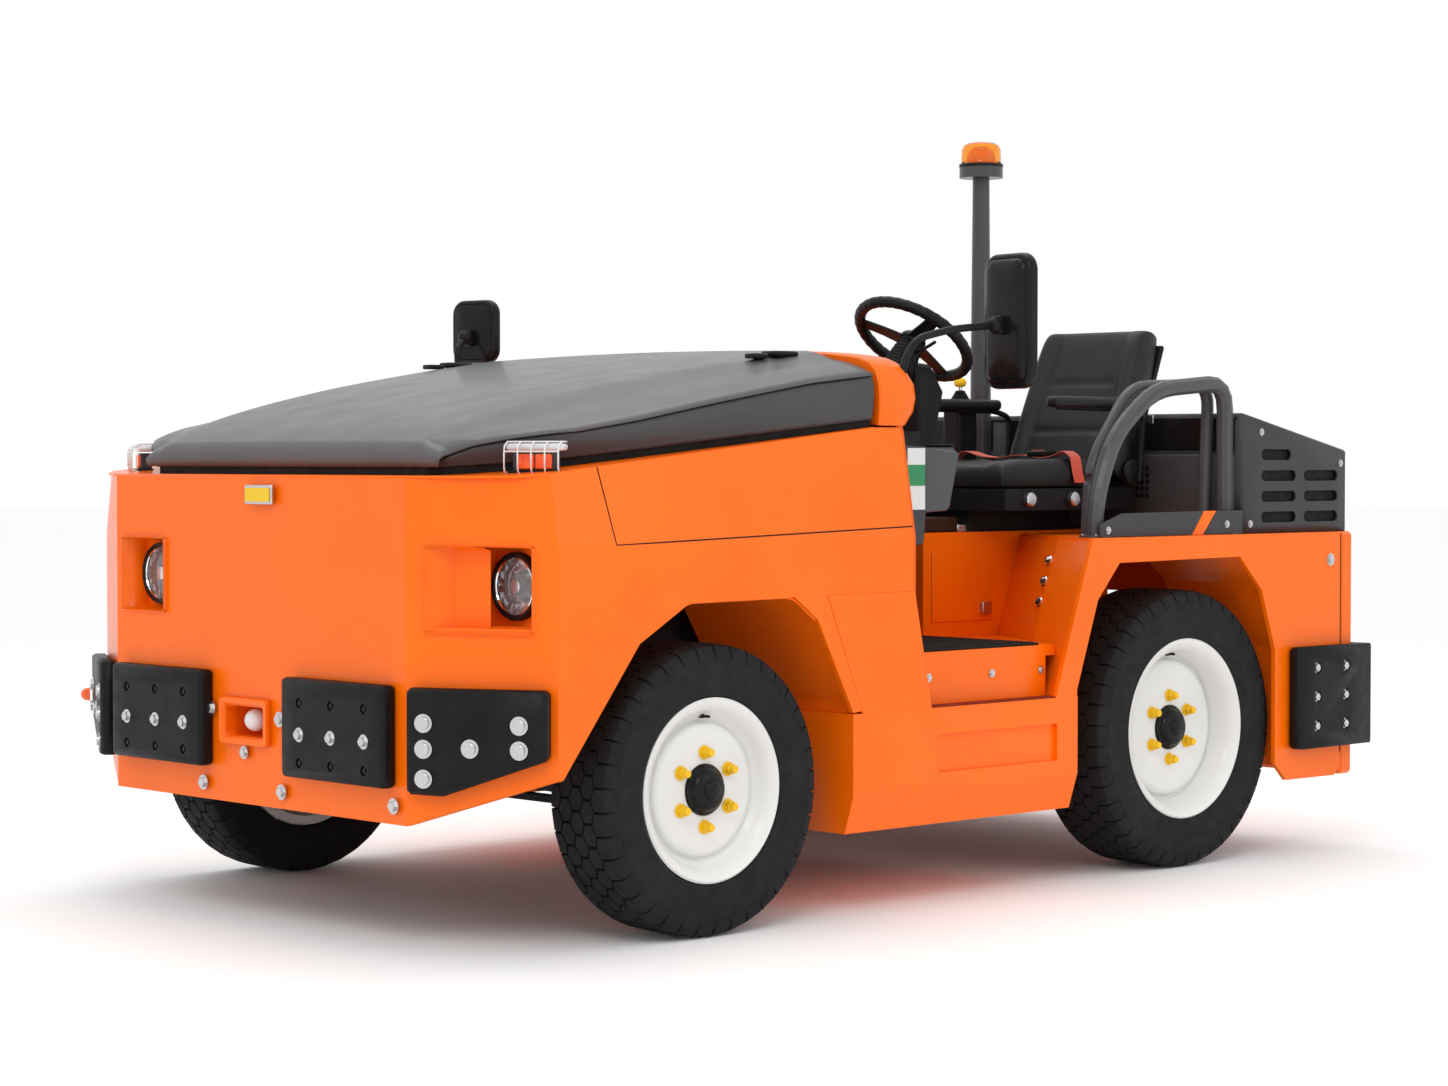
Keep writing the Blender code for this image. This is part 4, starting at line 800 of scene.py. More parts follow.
def shoulder_block(shape, angle, step, sign, pitch, half, high):
    """An outer tread block. It wraps over the shoulder and ends in a notch on the sidewall."""
    edges = [
        (4 / 3 * pitch, high - 0.0005, 0.0), (5 / 3 * pitch, high - 0.001, 0.92),
        (half * 0.80, high - 0.002, 0.92), (half * 0.905, high - 0.0065, 0.92),
        (half * 0.965, high - 0.016, 0.90), (half * 0.996, high - 0.036, 0.84)
    ]
    top, under = [], []
    for z, radius, width in edges:
        for ring, depth in ((top, 0.0), (under, 0.013)):
            points = []
            for u in ((0,) if width == 0 else (-0.5, 0.5)):
                a = angle + u * step * width
                r = radius - depth
                across = sign * (z - (0.006 if depth and z > half * 0.9 else 0)) + sign * 0.004 * (width == 0)
                points.append(shape.verts.new((r * math.cos(a), r * math.sin(a), across)))
            ring.append(points)
    for ring in (top, under):
        shape.faces.new((ring[0][0], ring[1][0], ring[1][1]))
        for near, far in zip(ring[1:], ring[2:]):
            shape.faces.new((near[0], far[0], far[1], near[1]))
    for i in (0, 1):
        shape.faces.new((top[0][0], under[0][0], under[1][i], top[1][i]))
        for k in range(1, len(edges) - 1):
            shape.faces.new((top[k][i], top[k + 1][i], under[k + 1][i], under[k][i]))
    shape.faces.new((top[-1][0], top[-1][1], under[-1][1], under[-1][0]))


def tyre(name, axle, low, high, body, lugs):
    """A tyre with a honeycomb block tread, shoulder blocks and ringed sidewalls."""
    side = 1 if axle.x > 0 else -1
    radius = (high.z - low.z) / 2
    half = (high.x - low.x) / 2
    bead = radius * BEAD_SHARE
    base = radius - TREAD_DEPTH
    section = [
        (bead + 0.001, half * 0.82), (bead + 0.004, half * 0.92), (bead + 0.012, half * 0.955),
        (bead + 0.017, half * 0.965), (bead + 0.019, half * 0.958), (bead + 0.022, half * 0.968),
        (bead + 0.045, half * 0.990), (bead + 0.066, half * 0.997), (base - 0.040, half * 0.985),
        (base - 0.038, half * 0.992), (base - 0.035, half * 0.992), (base - 0.033, half * 0.982),
        (base - 0.022, half * 0.968), (base - 0.010, half * 0.935), (base - 0.003, half * 0.88),
        (base, half * 0.78), (base + 0.001, 0.0)
    ]
    profile = section + [(r, -z) for r, z in reversed(section[:-1])]
    carcass = lathe(f"tyre_{name}_carcass", profile, TYRE, body, axle, (side, 0, 0), 96, 40)
    inner = [(bead + 0.001, half * 0.82), (bead - 0.001, 0), (bead + 0.001, -half * 0.82)]
    lathe(f"tyre_{name}_bead", inner, TYRE, body, axle, (side, 0, 0), 96, 40)
    tread = bmesh.new()
    step = 2 * math.pi / lugs
    pitch = half * 0.37
    for i in range(lugs):
        for row in (-1, 0, 1):
            honeycomb_block(tread, (i + (0.5 if row else 0.0)) * step, step, row * pitch, pitch, base, radius)
        for sign in (-1, 1):
            shoulder_block(tread, i * step, step, sign, pitch, half, radius)
    piece = from_bmesh(f"tyre_{name}_tread", tread, TYRE, body, axle, axis_turn((side, 0, 0)), 32)
    rounded(piece, 0.0012, 1)
    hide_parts(f"tyre_{name}")


def rim(name, axle, half, flange, body, depth):
    """A white disc wheel: rolled flange, stepped barrel, dished disc, hub cap and nuts."""
    side = 1 if axle.x > 0 else -1
    barrel = flange - 0.016
    inner = barrel - 0.012
    disc = half - depth
    edge = flange - 0.064
    profile = [
        (0.0, disc + 0.002), (0.060, disc + 0.002), (0.068, disc), (edge - 0.022, disc),
        (edge - 0.008, disc - 0.003), (edge - 0.002, disc - 0.009), (edge, disc - 0.018),
        (edge + 0.004, disc - 0.021), (edge + 0.010, disc - 0.018), (inner - 0.010, half - 0.030),
        (inner - 0.004, half - 0.018), (inner + 0.006, half - 0.008), (flange - 0.010, half - 0.0015),
        (flange - 0.005, half), (flange, half - 0.004), (flange - 0.001, half - 0.011),
        (barrel, half - 0.014), (barrel, -half + 0.014), (flange, -half + 0.010), (flange - 0.004, -half),
        (inner, -half + 0.004), (inner - 0.002, disc - 0.034), (0.140, disc - 0.030), (0.062, disc - 0.024),
        (0.062, -half + 0.040), (0.030, -half + 0.040), (0.030, disc - 0.018), (0.0, disc - 0.018)
    ]
    turn = axis_turn((side, 0, 0))
    obj = lathe(f"rim_{name}_disc", profile, WHITE, body, axle, (side, 0, 0), 80, 42)
    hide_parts(f"rim_{name}")
    hub = [
        (0.0, disc + 0.040), (0.021, disc + 0.0395), (0.025, disc + 0.037), (0.027, disc + 0.031),
        (0.044, disc + 0.029), (0.051, disc + 0.024), (0.056, disc + 0.012), (0.065, disc + 0.008),
        (0.067, disc + 0.004), (0.067, disc + 0.001)
    ]
    lathe(f"hub_{name}_cap", hub, GLOSS_BLACK, body, axle, (side, 0, 0), 48, 40)
    nuts = bmesh.new()
    for i in range(6):
        angle = math.pi / 6 + i * math.pi / 3
        place = Matrix.Translation((NUT_CIRCLE * math.cos(angle), NUT_CIRCLE * math.sin(angle), disc))
        add_lathe(
            nuts, [(0.0185, 0), (0.0185, 0.004), (0.0165, 0.005), (0.0165, 0.005), (0, 0.005)], 24, place
        )
        add_lathe(nuts, [(0.0150, 0.004), (0.0150, 0.018), (0.0135, 0.020), (0, 0.020)], 6, place)
        add_lathe(nuts, [(0.0105, 0.019), (0.0105, 0.030), (0.009, 0.032), (0, 0.032)], 20, place)
    from_bmesh(f"hub_{name}_nuts", nuts, YELLOW, body, axle, turn, 30)
    valve = bmesh.new()
    at = Matrix.Translation((0, inner - 0.022, disc - 0.014))
    add_lathe(valve, [(0.006, 0), (0.006, 0.012), (0.004, 0.014), (0.004, 0.034), (0, 0.035)], 12, at)
    from_bmesh(f"valve_{name}", valve, GLOSS_BLACK, body, axle, turn, 25)


def wheels():
    for name, body, depth, lugs in (
        ("FL", "wheel_front_left", 0.037, 38),
        ("FR", "wheel_front_right", 0.037, 38),
        ("RL", "wheel_rear_left", 0.067, 42),
        ("RR", "wheel_rear_right", 0.067, 42),
    ):
        low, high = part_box(f"tyre_{name}")
        axle = (low + high) / 2
        tyre(name, axle, low, high, body, lugs)
        rim(name, axle, (high.x - low.x) / 2 - RIM_INSET, RIM_FLANGE[name[0]], body, depth)


# Body


def side_surface_x(z):
    """Where the side plate's face is at a height. It leans in above the shoulder."""
    return BODY_X - SIDE_LEAN * max(0.0, z - SHOULDER_Z)


def strip_along(name, side, points, width, material, proud=0.0008, depth=0.004):
    """A thin dark strip in the side plate along (y, z) points. It reads as a shut line."""
    shape = bmesh.new()
    rows = []
    for i, (y, z) in enumerate(points):
        run = direction_at(points, i)
        across = Vector((-run.y, run.x)) * width / 2
        ring = []
        for sign, lift in ((1, proud), (-1, proud), (-1, -depth), (1, -depth)):
            py, pz = y + sign * across.x, z + sign * across.y
            ring.append(shape.verts.new((side * (side_surface_x(pz) + lift), py, pz)))
        rows.append(ring)
    skin(shape, rows, closed=True, capped=True)
    from_bmesh(name, shape, material, smooth_angle=30)


def cowl_hoop():
    """The painted hoop behind the hood. Its shoulders stand proud of the hood's slope."""
    outline = [(0.0, 1.526), (0.35, 1.5235), (0.62, 1.517), (0.76, 1.509), (0.855, 1.499), (0.900, 1.488),
               (0.930, 1.468), (0.946, 1.440), (0.953, 1.400), (0.953, 1.350), (0.948, HOOD_SEAT_Z + 0.130)]
    whole = mirrored(resample(outline, 30))
    centre = Vector((0, 1.15))
    profile = [
        (-0.368, 0.052), (-0.368, 0.006), (-0.364, 0.0015), (-0.357, 0.0), (-0.30, 0.0), (-0.262, 0.002),
        (-0.246, 0.008), (-0.240, 0.018), (-0.240, 0.052)
    ]
    shape = bmesh.new()
    rows = []
    for k, (x, z) in enumerate(whole):
        run = direction_at(whole, k)
        normal = Vector((-run.y, run.x))
        if normal.dot(Vector((x, z)) - centre) < 0:
            normal = -normal
        ring = []
        for y, inset in profile:
            belly = math.sin(math.pi * min(1, max(0, (z - 1.30) / 0.18)))
            sweep = 0.022 * smooth((abs(x) - 0.93) / 0.02) * belly
            back = sweep if y > -0.30 else 0.0
            tuck = 0.02 * smooth((1.36 - z) / 0.06) * (y > -0.30)
            ring.append(shape.verts.new((x - normal.x * inset, y + back - tuck, z - normal.y * inset)))
        rows.append(ring)
    skin(shape, rows, closed=True, capped=True)
    obj = from_bmesh("cowl_hoop_painted", shape, ORANGE, smooth_angle=40)
    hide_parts("cowl_hoop")


def body_panels():
    cowl_hoop()
    for name in ("nose_body", "rear_plate"):
        keep(name, ORANGE, 0.004, 3)
    for name in ("quarter_panel_L", "quarter_panel_R", "fender_L", "fender_R", "step_box_L", "step_box_R"):
        keep(name, ORANGE, 0.0022)
    # The firewall gets the darker orange, which is painted shade rather than a second paint
    keep("firewall", SHADED_ORANGE)
    keep("cab_floor", ORANGE, 0.002)
    keep("seat_pedestal", ORANGE, 0.006, 3)
    for name in ("chassis_frame", "front_axle", "rear_axle", "engine_block", "rear_hitch"):
        keep(name, IRON, 0.003)
    for name in ("knuckle_L", "knuckle_R"):
        keep(name, IRON, 0.002)
    keep("tie_rod", IRON, 0.002)
    keep("hitch_pin", STEEL, 0.001)
    for name, side in SIDES:
        shut_lines(name, side)
        arch_trim(name, side)


def shut_lines(name, side):
    """The shut line and the bolts of the side's upper panel."""
    top_z = seat_line_z(-1.395) - 0.002
    upper = [(-1.395, top_z), (-1.357, SHOULDER_Z), (-1.2, SHOULDER_Z + 0.004), (FIREWALL_Y, 1.037)]
    strip_along(f"shut_line_upper_{name}", side, upper, SHUT_LINE_WIDTH, GASKET)
    places = [Vector((side * (side_surface_x(1.10) - 0.001), y, 1.075)) for y in (-1.30, -0.82, -0.36)]
    bolts(f"side_panel_bolts_{name}", places, (side, 0, 0), 0.006, 0.004, ORANGE)


def arch_trim(name, side):
    """A rolled lip along the front wheel opening."""
    y = FRONT_AXLE.y
    top = 2 * FRONT_AXLE.z + 0.110
    line = [(y - 0.276, top - 0.099), (y - 0.107, top - 0.003), (y + 0.265, top), (y + 0.350, top - 0.062)]
    route = curve_route([(side * (BODY_X - 0.012), a, b) for a, b in line], 0.03)
    tube(f"arch_lip_{name}", route, 0.0035, ORANGE, resolution=3)


def pads():
    """Rubber pads with counterbored holes, silver bolts along the middle and dark screws beside them."""
    face = NOSE_Y - PAD_THICKNESS
    for name, side in SIDES:
        low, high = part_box(f"bumper_front_{name}")
        pad = keep(f"bumper_front_{name}", PAD, 0.010, 4)
        inner, outer = sorted((abs(low.x), abs(high.x)))
        spots = [side * (inner + (outer - inner) * share) for share in (0.19, 0.50, 0.82)]
        middle = [Vector((x, face, low.z + 0.112)) for x in spots]
        dark = [Vector((x, face, z)) for x in spots for z in (low.z + 0.040, high.z - 0.062)]
        counterbore(f"pad_holes_front_{name}", pad, middle, (0, -1, 0), 0.019, 0.012, STEEL, 0.0125, 0.012)
        counterbore(
            f"pad_screws_front_{name}", pad, dark, (0, -1, 0), 0.013, 0.016, GLOSS_BLACK, 0.007, 0.005
        )
        corner_pad_holes(name, side)
        rear = keep(f"bumper_rear_{name}", PAD, 0.010, 4)
        edge_x = BODY_X + PAD_THICKNESS
        places = [Vector((side * edge_x, y, z)) for y in (1.49, 1.64) for z in (0.395, 0.485, 0.575)]
        counterbore(f"pad_holes_side_{name}", rear, places, (side, 0, 0), 0.019, 0.010, STEEL, 0.0125, 0.012)
        places = [Vector((side * x, 1.78, z)) for x in (0.70, 0.90) for z in (0.40, 0.565)]
        counterbore(f"pad_holes_rear_{name}", rear, places, (0, 1, 0), 0.019, 0.010, STEEL, 0.0125, 0.012)


def corner_pad_holes(name, side):
    pad = keep(f"bumper_corner_{name}", PAD, 0.010, 4)
    direction = Vector((side * CHAMFER_DEPTH, -CHAMFER_RUN, 0)).normalized()
    places = []
    spots = [(0.709, 0.575), (0.709, 0.512), (0.709, 0.439), (0.817, 0.516), (0.930, 0.575), (0.930, 0.515)]
    for x, z in spots:
        at = chamfer_point(x, PAD_FACE)
        places.append(Vector((side * at.x, at.y, z)))
    counterbore(f"pad_holes_corner_{name}", pad, places, direction, 0.018, 0.008, STEEL, 0.0155, 0.009, 24)


def counterbore(name, pad, places, direction, hole, depth, material, head, height, sides=6):
    """Cuts a round hole at each place on a pad's face and sets a bolt at its bottom."""
    direction = Vector(direction).normalized()
    shape = bmesh.new()
    turn = axis_turn(direction)
    for place in places:
        at = Matrix.Translation(place - direction * depth) @ turn
        add_lathe(shape, [(0, 0), (hole, 0), (hole, depth + 0.01), (0, depth + 0.01)], 28, at)
    carve(pad, hidden(name, shape))
    spots = [place - direction * (depth - 0.0002) for place in places]
    bolts(name + "_bolts", spots, direction, head, height, material, sides=sides)


def front_details():
    face = NOSE_Y
    box_piece(
        "reflector_frame", (-0.010, face - 0.010, 1.101), (0.110, face - 0.0003, 1.151), STEEL, radius=0.003
    )
    box_piece(
        "reflector_lens", (-0.003, face - 0.0135, 1.108), (0.103, face - 0.009, 1.144), AMBER_YELLOW,
        radius=0.002
    )
    spots = [(-0.179, 0.559), (-0.216, 0.360), (0.138, 0.361), (0.609, 0.363), (0.130, 0.548)]
    places = [(x, face - 0.0004, z) for x, z in spots]
    bolts("front_plate_bolts", places, (0, -1, 0), 0.0135, 0.010, STEEL)
    bolts("front_eye_bolt", [(-0.029, face - 0.0004, 0.452)], (0, -1, 0), 0.0115, 0.008, STEEL)
    pocket = Vector((-0.025, face, 0.533))
    frame_ring = []
    for half_x, half_z, out in ((0.108, 0.062, 0.0005), (0.106, 0.060, 0.009), (0.094, 0.048, 0.010),
                                (0.088, 0.042, 0.004), (0.0855, 0.0395, -0.030)):
        frame_ring.append([Vector((pocket.x + x, face - out, pocket.z + z))
                           for x, z in rounded_rectangle(half_x, half_z, 0.014)])
    shape = bmesh.new()
    loft_rings(shape, frame_ring)
    from_bmesh("tow_pocket_frame", shape, ORANGE, smooth_angle=50)
    ball = [(0.030 * math.sin(math.pi * i / 16), 0.030 * math.cos(math.pi * i / 16)) for i in range(17)]
    lathe("tow_ball", ball, GUARD, location=(-0.018, face + 0.030, 0.536), direction=(0, -1, 0), steps=40)
    rod = [(-0.018, face + 0.050, 0.536), (-0.018, face + 0.098, 0.536)]
    tube("tow_ball_stem", rod, 0.010, STEEL)
    pad_end = -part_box("bumper_corner_R")[0].x - 0.0415
    at = chamfer_point(pad_end, PAD_FACE)
    lamp_place = Vector((-at.x, at.y, 0.545))
    lathe(
        "corner_marker_lamp", [(0, 0.026), (0.010, 0.023), (0.017, 0.014), (0.019, 0.004), (0.019, 0)],
        AMBER_RED, location=lamp_place, direction=(-CHAMFER_DEPTH, -CHAMFER_RUN, 0), steps=28, angle=60
    )


def headlamp_tray(name, plan, z0, z1, centre, radius):
    """The painted tray that a headlamp sits in: slanted wall, shallow shelf and lamp floor."""
    shape = bmesh.new()
    fillet = 0.012
    levels = [(z0, 1.0), (z0 + 0.0015, 0.45), (z0 + 0.005, 0.16), (z0 + fillet, 0.0), (z1 - fillet, 0.0),
              (z1 - 0.005, 0.16), (z1 - 0.0015, 0.45), (z1, 1.0)]
    plan = [Vector(point) for point in plan]
    first, last = plan[0], plan[-1]
    rows = []
    for z, pull in levels:
        row = []
        for i, point in enumerate(plan):
            share = i / (len(plan) - 1)
            mouth = first + (last - first) * share
            row.append(shape.verts.new((*(point + (mouth - point) * pull), z)))
        rows.append(row)
    skin(shape, rows)
    tray = from_bmesh(f"headlamp_tray_{name}", shape, ORANGE, smooth_angle=35)
    sheet(tray, 0.0016, 0)
    hole = bmesh.new()
    at = Matrix.Translation(centre + Vector((0, 0.12, 0))) @ axis_turn((0, -1, 0))
    add_lathe(hole, [(0, 0), (radius, 0), (radius, 0.115), (0, 0.115)], 48, at)
    carve(tray, hidden(f"headlamp_tray_hole_{name}", hole))


def headlamp_trays():
    centre = face_centre("headlamp_L")
    left = chamfer_point(0.6975, 0.0006)
    right = chamfer_point(0.9468, 0.0006)
    plan = [left, (0.7224, -1.6402), (0.8031, -1.5952), (0.7450, -1.5560), (0.7450, centre.y + 0.012),
            (0.9290, centre.y + 0.012), (0.9400, centre.y + 0.004), right]
    headlamp_tray("L", plan, 0.7920, 1.0050, centre, 0.0835)
    centre = face_centre("headlamp_R")
    plan = [(-0.6090, NOSE_Y - 0.0006), (-0.5990, NOSE_Y + 0.055), (-0.5980, centre.y + 0.012),
            (-0.4200, centre.y + 0.012), (-0.4110, centre.y + 0.004), (-0.4040, NOSE_Y - 0.0006)]
    headlamp_tray("R", plan, 0.8050, 1.0060, centre, 0.0835)


def headlamp(name):
    """A round lamp: black bezel, chrome ring, faceted reflector, bulb shield and clear lens."""
    low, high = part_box(f"headlamp_{name}")
    centre = face_centre(f"headlamp_{name}")
    forward = (0, -1, 0)
    outer = (high.x - low.x) / 2
    bezel = [
        (outer - 0.012, 0.004), (outer - 0.009, 0.0085), (outer - 0.003, 0.009), (outer, 0.004),
        (outer, -0.034), (outer - 0.010, -0.034), (outer - 0.012, 0.004)
    ]
    ring = lathe(f"headlamp_bezel_{name}", bezel, GLOSS_BLACK, location=centre, direction=forward, steps=64)
    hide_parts(f"headlamp_{name}")
    trim = [
        (outer - 0.0165, 0.003), (outer - 0.0145, 0.006), (outer - 0.0125, 0.0045),
        (outer - 0.0125, -0.004), (outer - 0.0165, -0.004)
    ]
    lathe(f"headlamp_ring_{name}", trim, CHROME, location=centre, direction=forward, steps=64)
    bowl = [
        (0.012, -0.072), (0.030, -0.066), (0.050, -0.050), (outer - 0.024, -0.024), (outer - 0.017, -0.002)
    ]
    lathe(f"headlamp_bowl_{name}", bowl, REFLECTOR, location=centre, direction=forward, steps=24, angle=8)
    shield = [
        (0.0, -0.012), (0.016, -0.014), (0.022, -0.022), (0.022, -0.050), (0.019, -0.050), (0.019, -0.024)
    ]
    lathe(f"headlamp_shield_{name}", shield, CHROME, location=centre, direction=forward, steps=32)
    legs = [Vector((0, -0.030, 0)), Vector((-0.030, -0.052, -0.045))]
    route = [centre + Vector((leg.x, -leg.y, leg.z)) for leg in legs]
    tube(f"headlamp_leg_{name}", route, 0.004, CHROME, resolution=2)
    lens = [
        (outer - 0.0165, 0.000), (outer - 0.030, 0.006), (0.030, 0.0125), (0.0, 0.0135), (0.0, 0.0115),
        (0.030, 0.0105), (outer - 0.030, 0.004), (outer - 0.0165, -0.002)
    ]
    lathe(f"headlamp_lens_{name}", lens, CLEAR, location=centre, direction=forward, steps=64)


def turn_lamp(name, side):
    """An amber lamp in a white bar guard. It stands on the ledge, along the corner facet."""
    width, depth, height = 0.150, 0.050, 0.082
    along = Vector((CHAMFER_RUN, CHAMFER_DEPTH)).normalized()
    back = Vector((-along.y, along.x))
    start = chamfer_point(FACET_X + 0.59 * CHAMFER_RUN) + back * 0.080
    base_z = HOOD_SEAT_Z + 0.0006

    def place(u, w, h):
        at = start + along * u + back * w
        return Vector((side * at.x, at.y, base_z + h))

    def slab(piece_name, u, w, h, material, radius=0.003, segments=3):
        shape = bmesh.new()
        rings = []
        for height_at in h:
            corners = ((u[0], w[0]), (u[1], w[0]), (u[1], w[1]), (u[0], w[1]))
            rings.append([place(a, b, height_at) for a, b in corners])
        loft_rings(shape, rings, True, True)
        return rounded(from_bmesh(piece_name, shape, material, smooth_angle=50), radius, segments)

    foot = slab(f"turn_lamp_foot_{name}", (0.006, width - 0.006), (0.004, depth), (0, 0.012), BLACK)
    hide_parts(f"turn_lamp_{name}")
    slab(
        f"turn_lamp_case_{name}", (0.016, width - 0.020), (0.014, depth - 0.004), (0.010, 0.056), SIDE_GREY,
        0.004
    )
    lens = slab(f"turn_lamp_lens_{name}", (0.028, 0.074), (0.007, 0.022), (0.014, 0.052), AMBER_RED, 0.005)
    slab(f"turn_lamp_lens_outer_{name}", (0.077, 0.120), (0.007, 0.022), (0.014, 0.052), AMBER_RED, 0.005)
    slab(
        f"turn_lamp_cap_{name}", (0.0, width), (0.006, depth), (0.060, height - 0.004), CLEAR_WHITE, 0.008,
        4
    )
    guard = bmesh.new()
    bar = 0.0021

    def add_bar(route):
        route = [place(*point) for point in route]
        for first, second in zip(route, route[1:]):
            run = second - first
            turn = axis_turn(run)
            at = Matrix.Translation(first) @ turn
            add_lathe(guard, [(0, -bar), (bar, 0), (bar, run.length), (0, run.length + bar)], 10, at)

    for i in range(5):
        u = 0.004 + (width - 0.008) * i / 4
        bulge = -0.012
        add_bar([(u, depth - 0.004, height), (u, 0.012, height), (u, bulge + 0.004, height - 0.010),
                 (u, bulge, height - 0.026), (u, bulge, 0.020), (u, bulge + 0.004, 0.008), (u, 0.012, 0.002)])
    for h, w in ((height, 0.012), (height, depth - 0.006), (0.003, 0.010), (height - 0.024, -0.0115)):
        add_bar([(0.004, w, h), (width - 0.004, w, h)])
    from_bmesh(f"turn_lamp_guard_{name}", guard, GUARD, smooth_angle=50)


# Cab


def floor_and_steps():
    """Ribbed mats on the floor and red grip strips on the step ledges."""
    rear_y = 0.30
    for name, side in SIDES:
        x0, x1 = sorted((side * 0.500, side * 0.938))
        box_piece(
            f"floor_mat_{name}", (x0, FIREWALL_Y + 0.02, FLOOR_Z + 0.0004), (x1, rear_y, FLOOR_Z + 0.007),
            MAT, radius=0.003
        )
        ribs = []
        for i in range(22):
            x = x0 + 0.014 + (x1 - x0 - 0.028) * i / 21
            low = (x - 0.003, FIREWALL_Y + 0.03, FLOOR_Z + 0.0065)
            ribs.append((low, (x + 0.003, rear_y - 0.012, FLOOR_Z + 0.010)))
        boxes_piece(f"floor_mat_ribs_{name}", ribs, MAT, radius=0.0008)
        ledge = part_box(f"step_box_{name}")
        t0, t1 = sorted((side * 0.950, side * 0.997))
        box_piece(f"step_tread_{name}", (t0, ledge[0].y + 0.03, ledge[1].z + 0.0004),
                  (t1, ledge[1].y - 0.06, ledge[1].z + 0.004), TREAD_RED, radius=0.001)
        riser_x = side * 0.9455
        places = [(riser_x, y, 0.62) for y in (-0.17, 0.09, 0.30)]
        bolts(f"riser_bolts_{name}", places, (side, 0, 0), 0.008, 0.006, STEEL)
    box_piece("centre_mat", (-0.498, FIREWALL_Y + 0.03, FLOOR_Z + 0.0004), (0.498, 0.06, FLOOR_Z + 0.006),
              MAT, radius=0.003)


def entry_buttons():
    """Chrome push buttons on the entry's rear wall."""
    for name, side in SIDES:
        for number, z in enumerate((0.800, 0.860, 0.920)):
            x = side * 0.775
            y = entry_rear(0.775, z) - 0.0006
            lean = Vector((0, -1, 0.36)).normalized()
            lathe(
                f"entry_button_{name}_{number}",
                [(0.015, 0), (0.015, 0.004), (0.011, 0.006), (0.010, 0.009), (0, 0.010)], CHROME,
                location=(x, y, z), direction=lean, steps=28
            )


def entry_rear(x, z):
    """The y of the entry's rear wall, as it runs in towards the pedestal and leans back."""
    return between([(0.49, 0.630), (0.80, 0.437), (1.0, 0.353)], x) + 0.36 * (z - FLOOR_Z)


def pedestal_details():
    """Access doors, and the dark block and slide rails under the seat."""
    low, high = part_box("seat_pedestal")
    for name, side in SIDES:
        x = side * high.x
        span = sorted((x, x + side * 0.004))
        box_piece(f"pedestal_door_{name}", (span[0] + 0.0003 * side, 0.335, FLOOR_Z + 0.045),
                  (span[1] + 0.0003 * side, 0.600, 0.945), ORANGE, radius=0.0018)
        handle = sorted((x + side * 0.004, x + side * 0.018))
        box_piece(
            f"pedestal_latch_{name}", (handle[0], 0.545, 0.755), (handle[1], 0.585, 0.790), STEEL,
            radius=0.003
        )
    front = low.y
    box_piece("pedestal_front_door", (0.08, front - 0.0045, FLOOR_Z + 0.05), (0.46, front - 0.0003, 0.94),
              ORANGE, radius=0.0018)
    box_piece(
        "pedestal_block", (0.20, 0.32, high.z + 0.0004), (0.47, 0.475, high.z + 0.045), BROWN, radius=0.006
    )
    rails = [
        ((x - 0.018, 0.47, high.z + 0.0004), (x + 0.018, 0.98, high.z + 0.022)) for x in (0.22, 0.455)
    ]
    boxes_piece("seat_rails", rails, STEEL, radius=0.002)


def dash():
    """The grey console across the cab, its side bracket with a blank strip, the gauges and switches."""
    low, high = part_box("dash_console")
    keep("dash_console", CABINET_GREY, 0.006, 3)
    top = high.z
    for name, side in SIDES:
        cheek = [
            (-0.205, 1.256), (0.020, 1.240), (0.034, 1.232), (-0.006, 1.082), (-0.018, 1.074),
            (-0.205, 1.066)
        ]
        x0, x1 = sorted((side * 0.852, side * 0.874))
        prism(f"dash_cheek_{name}", cheek, x0, x1, TUBE_GREY, radius=0.005)
        bracket = [(-0.262, 1.256), (-0.160, 1.252), (-0.160, 1.080), (-0.168, 0.992), (-0.176, 0.984),
                   (-0.212, 0.984), (-0.222, 1.066), (-0.262, 1.075)]
        x0, x1 = sorted((side * 0.900, side * 0.926))
        prism(f"dash_bracket_{name}", bracket, x0, x1, SIDE_GREY, radius=0.003)
    for number, (z0, z1, material) in enumerate(
        ((1.2025, 1.248, LINE_WHITE), (1.1455, 1.202, LINE_GREEN), (1.080, 1.145, LINE_WHITE))
    ):
        box_piece(f"dash_strip_{number}", (0.9262, -0.236, z0), (0.9274, -0.166, z1), material, radius=0)
    box_piece(
        "dash_cluster", (0.24, 0.0, top + 0.0003), (0.56, 0.085, top + 0.030), BLACK, radius=0.010,
        segments=4
    )
    for number, cx in enumerate((0.31, 0.40, 0.49)):
        dial = [(0.030, 0), (0.032, 0.003), (0.029, 0.006), (0.027, 0.003), (0, 0.003)]
        lathe(f"dash_gauge_{number}", dial, GLOSS_BLACK, location=(cx, 0.042, top + 0.0302), steps=36)
    for number in range(6):
        cx = -0.10 - number * 0.075
        box_piece(
            f"dash_switch_{number}", (cx - 0.020, 0.015, top + 0.0003), (cx + 0.020, 0.050, top + 0.012),
            GLOSS_BLACK, radius=0.003
        )
    box_piece(
        "dash_edge", (low.x + 0.01, high.y - 0.012, top - 0.001),
        (high.x - 0.01, high.y + 0.002, top + 0.010), GASKET, radius=0.004
    )


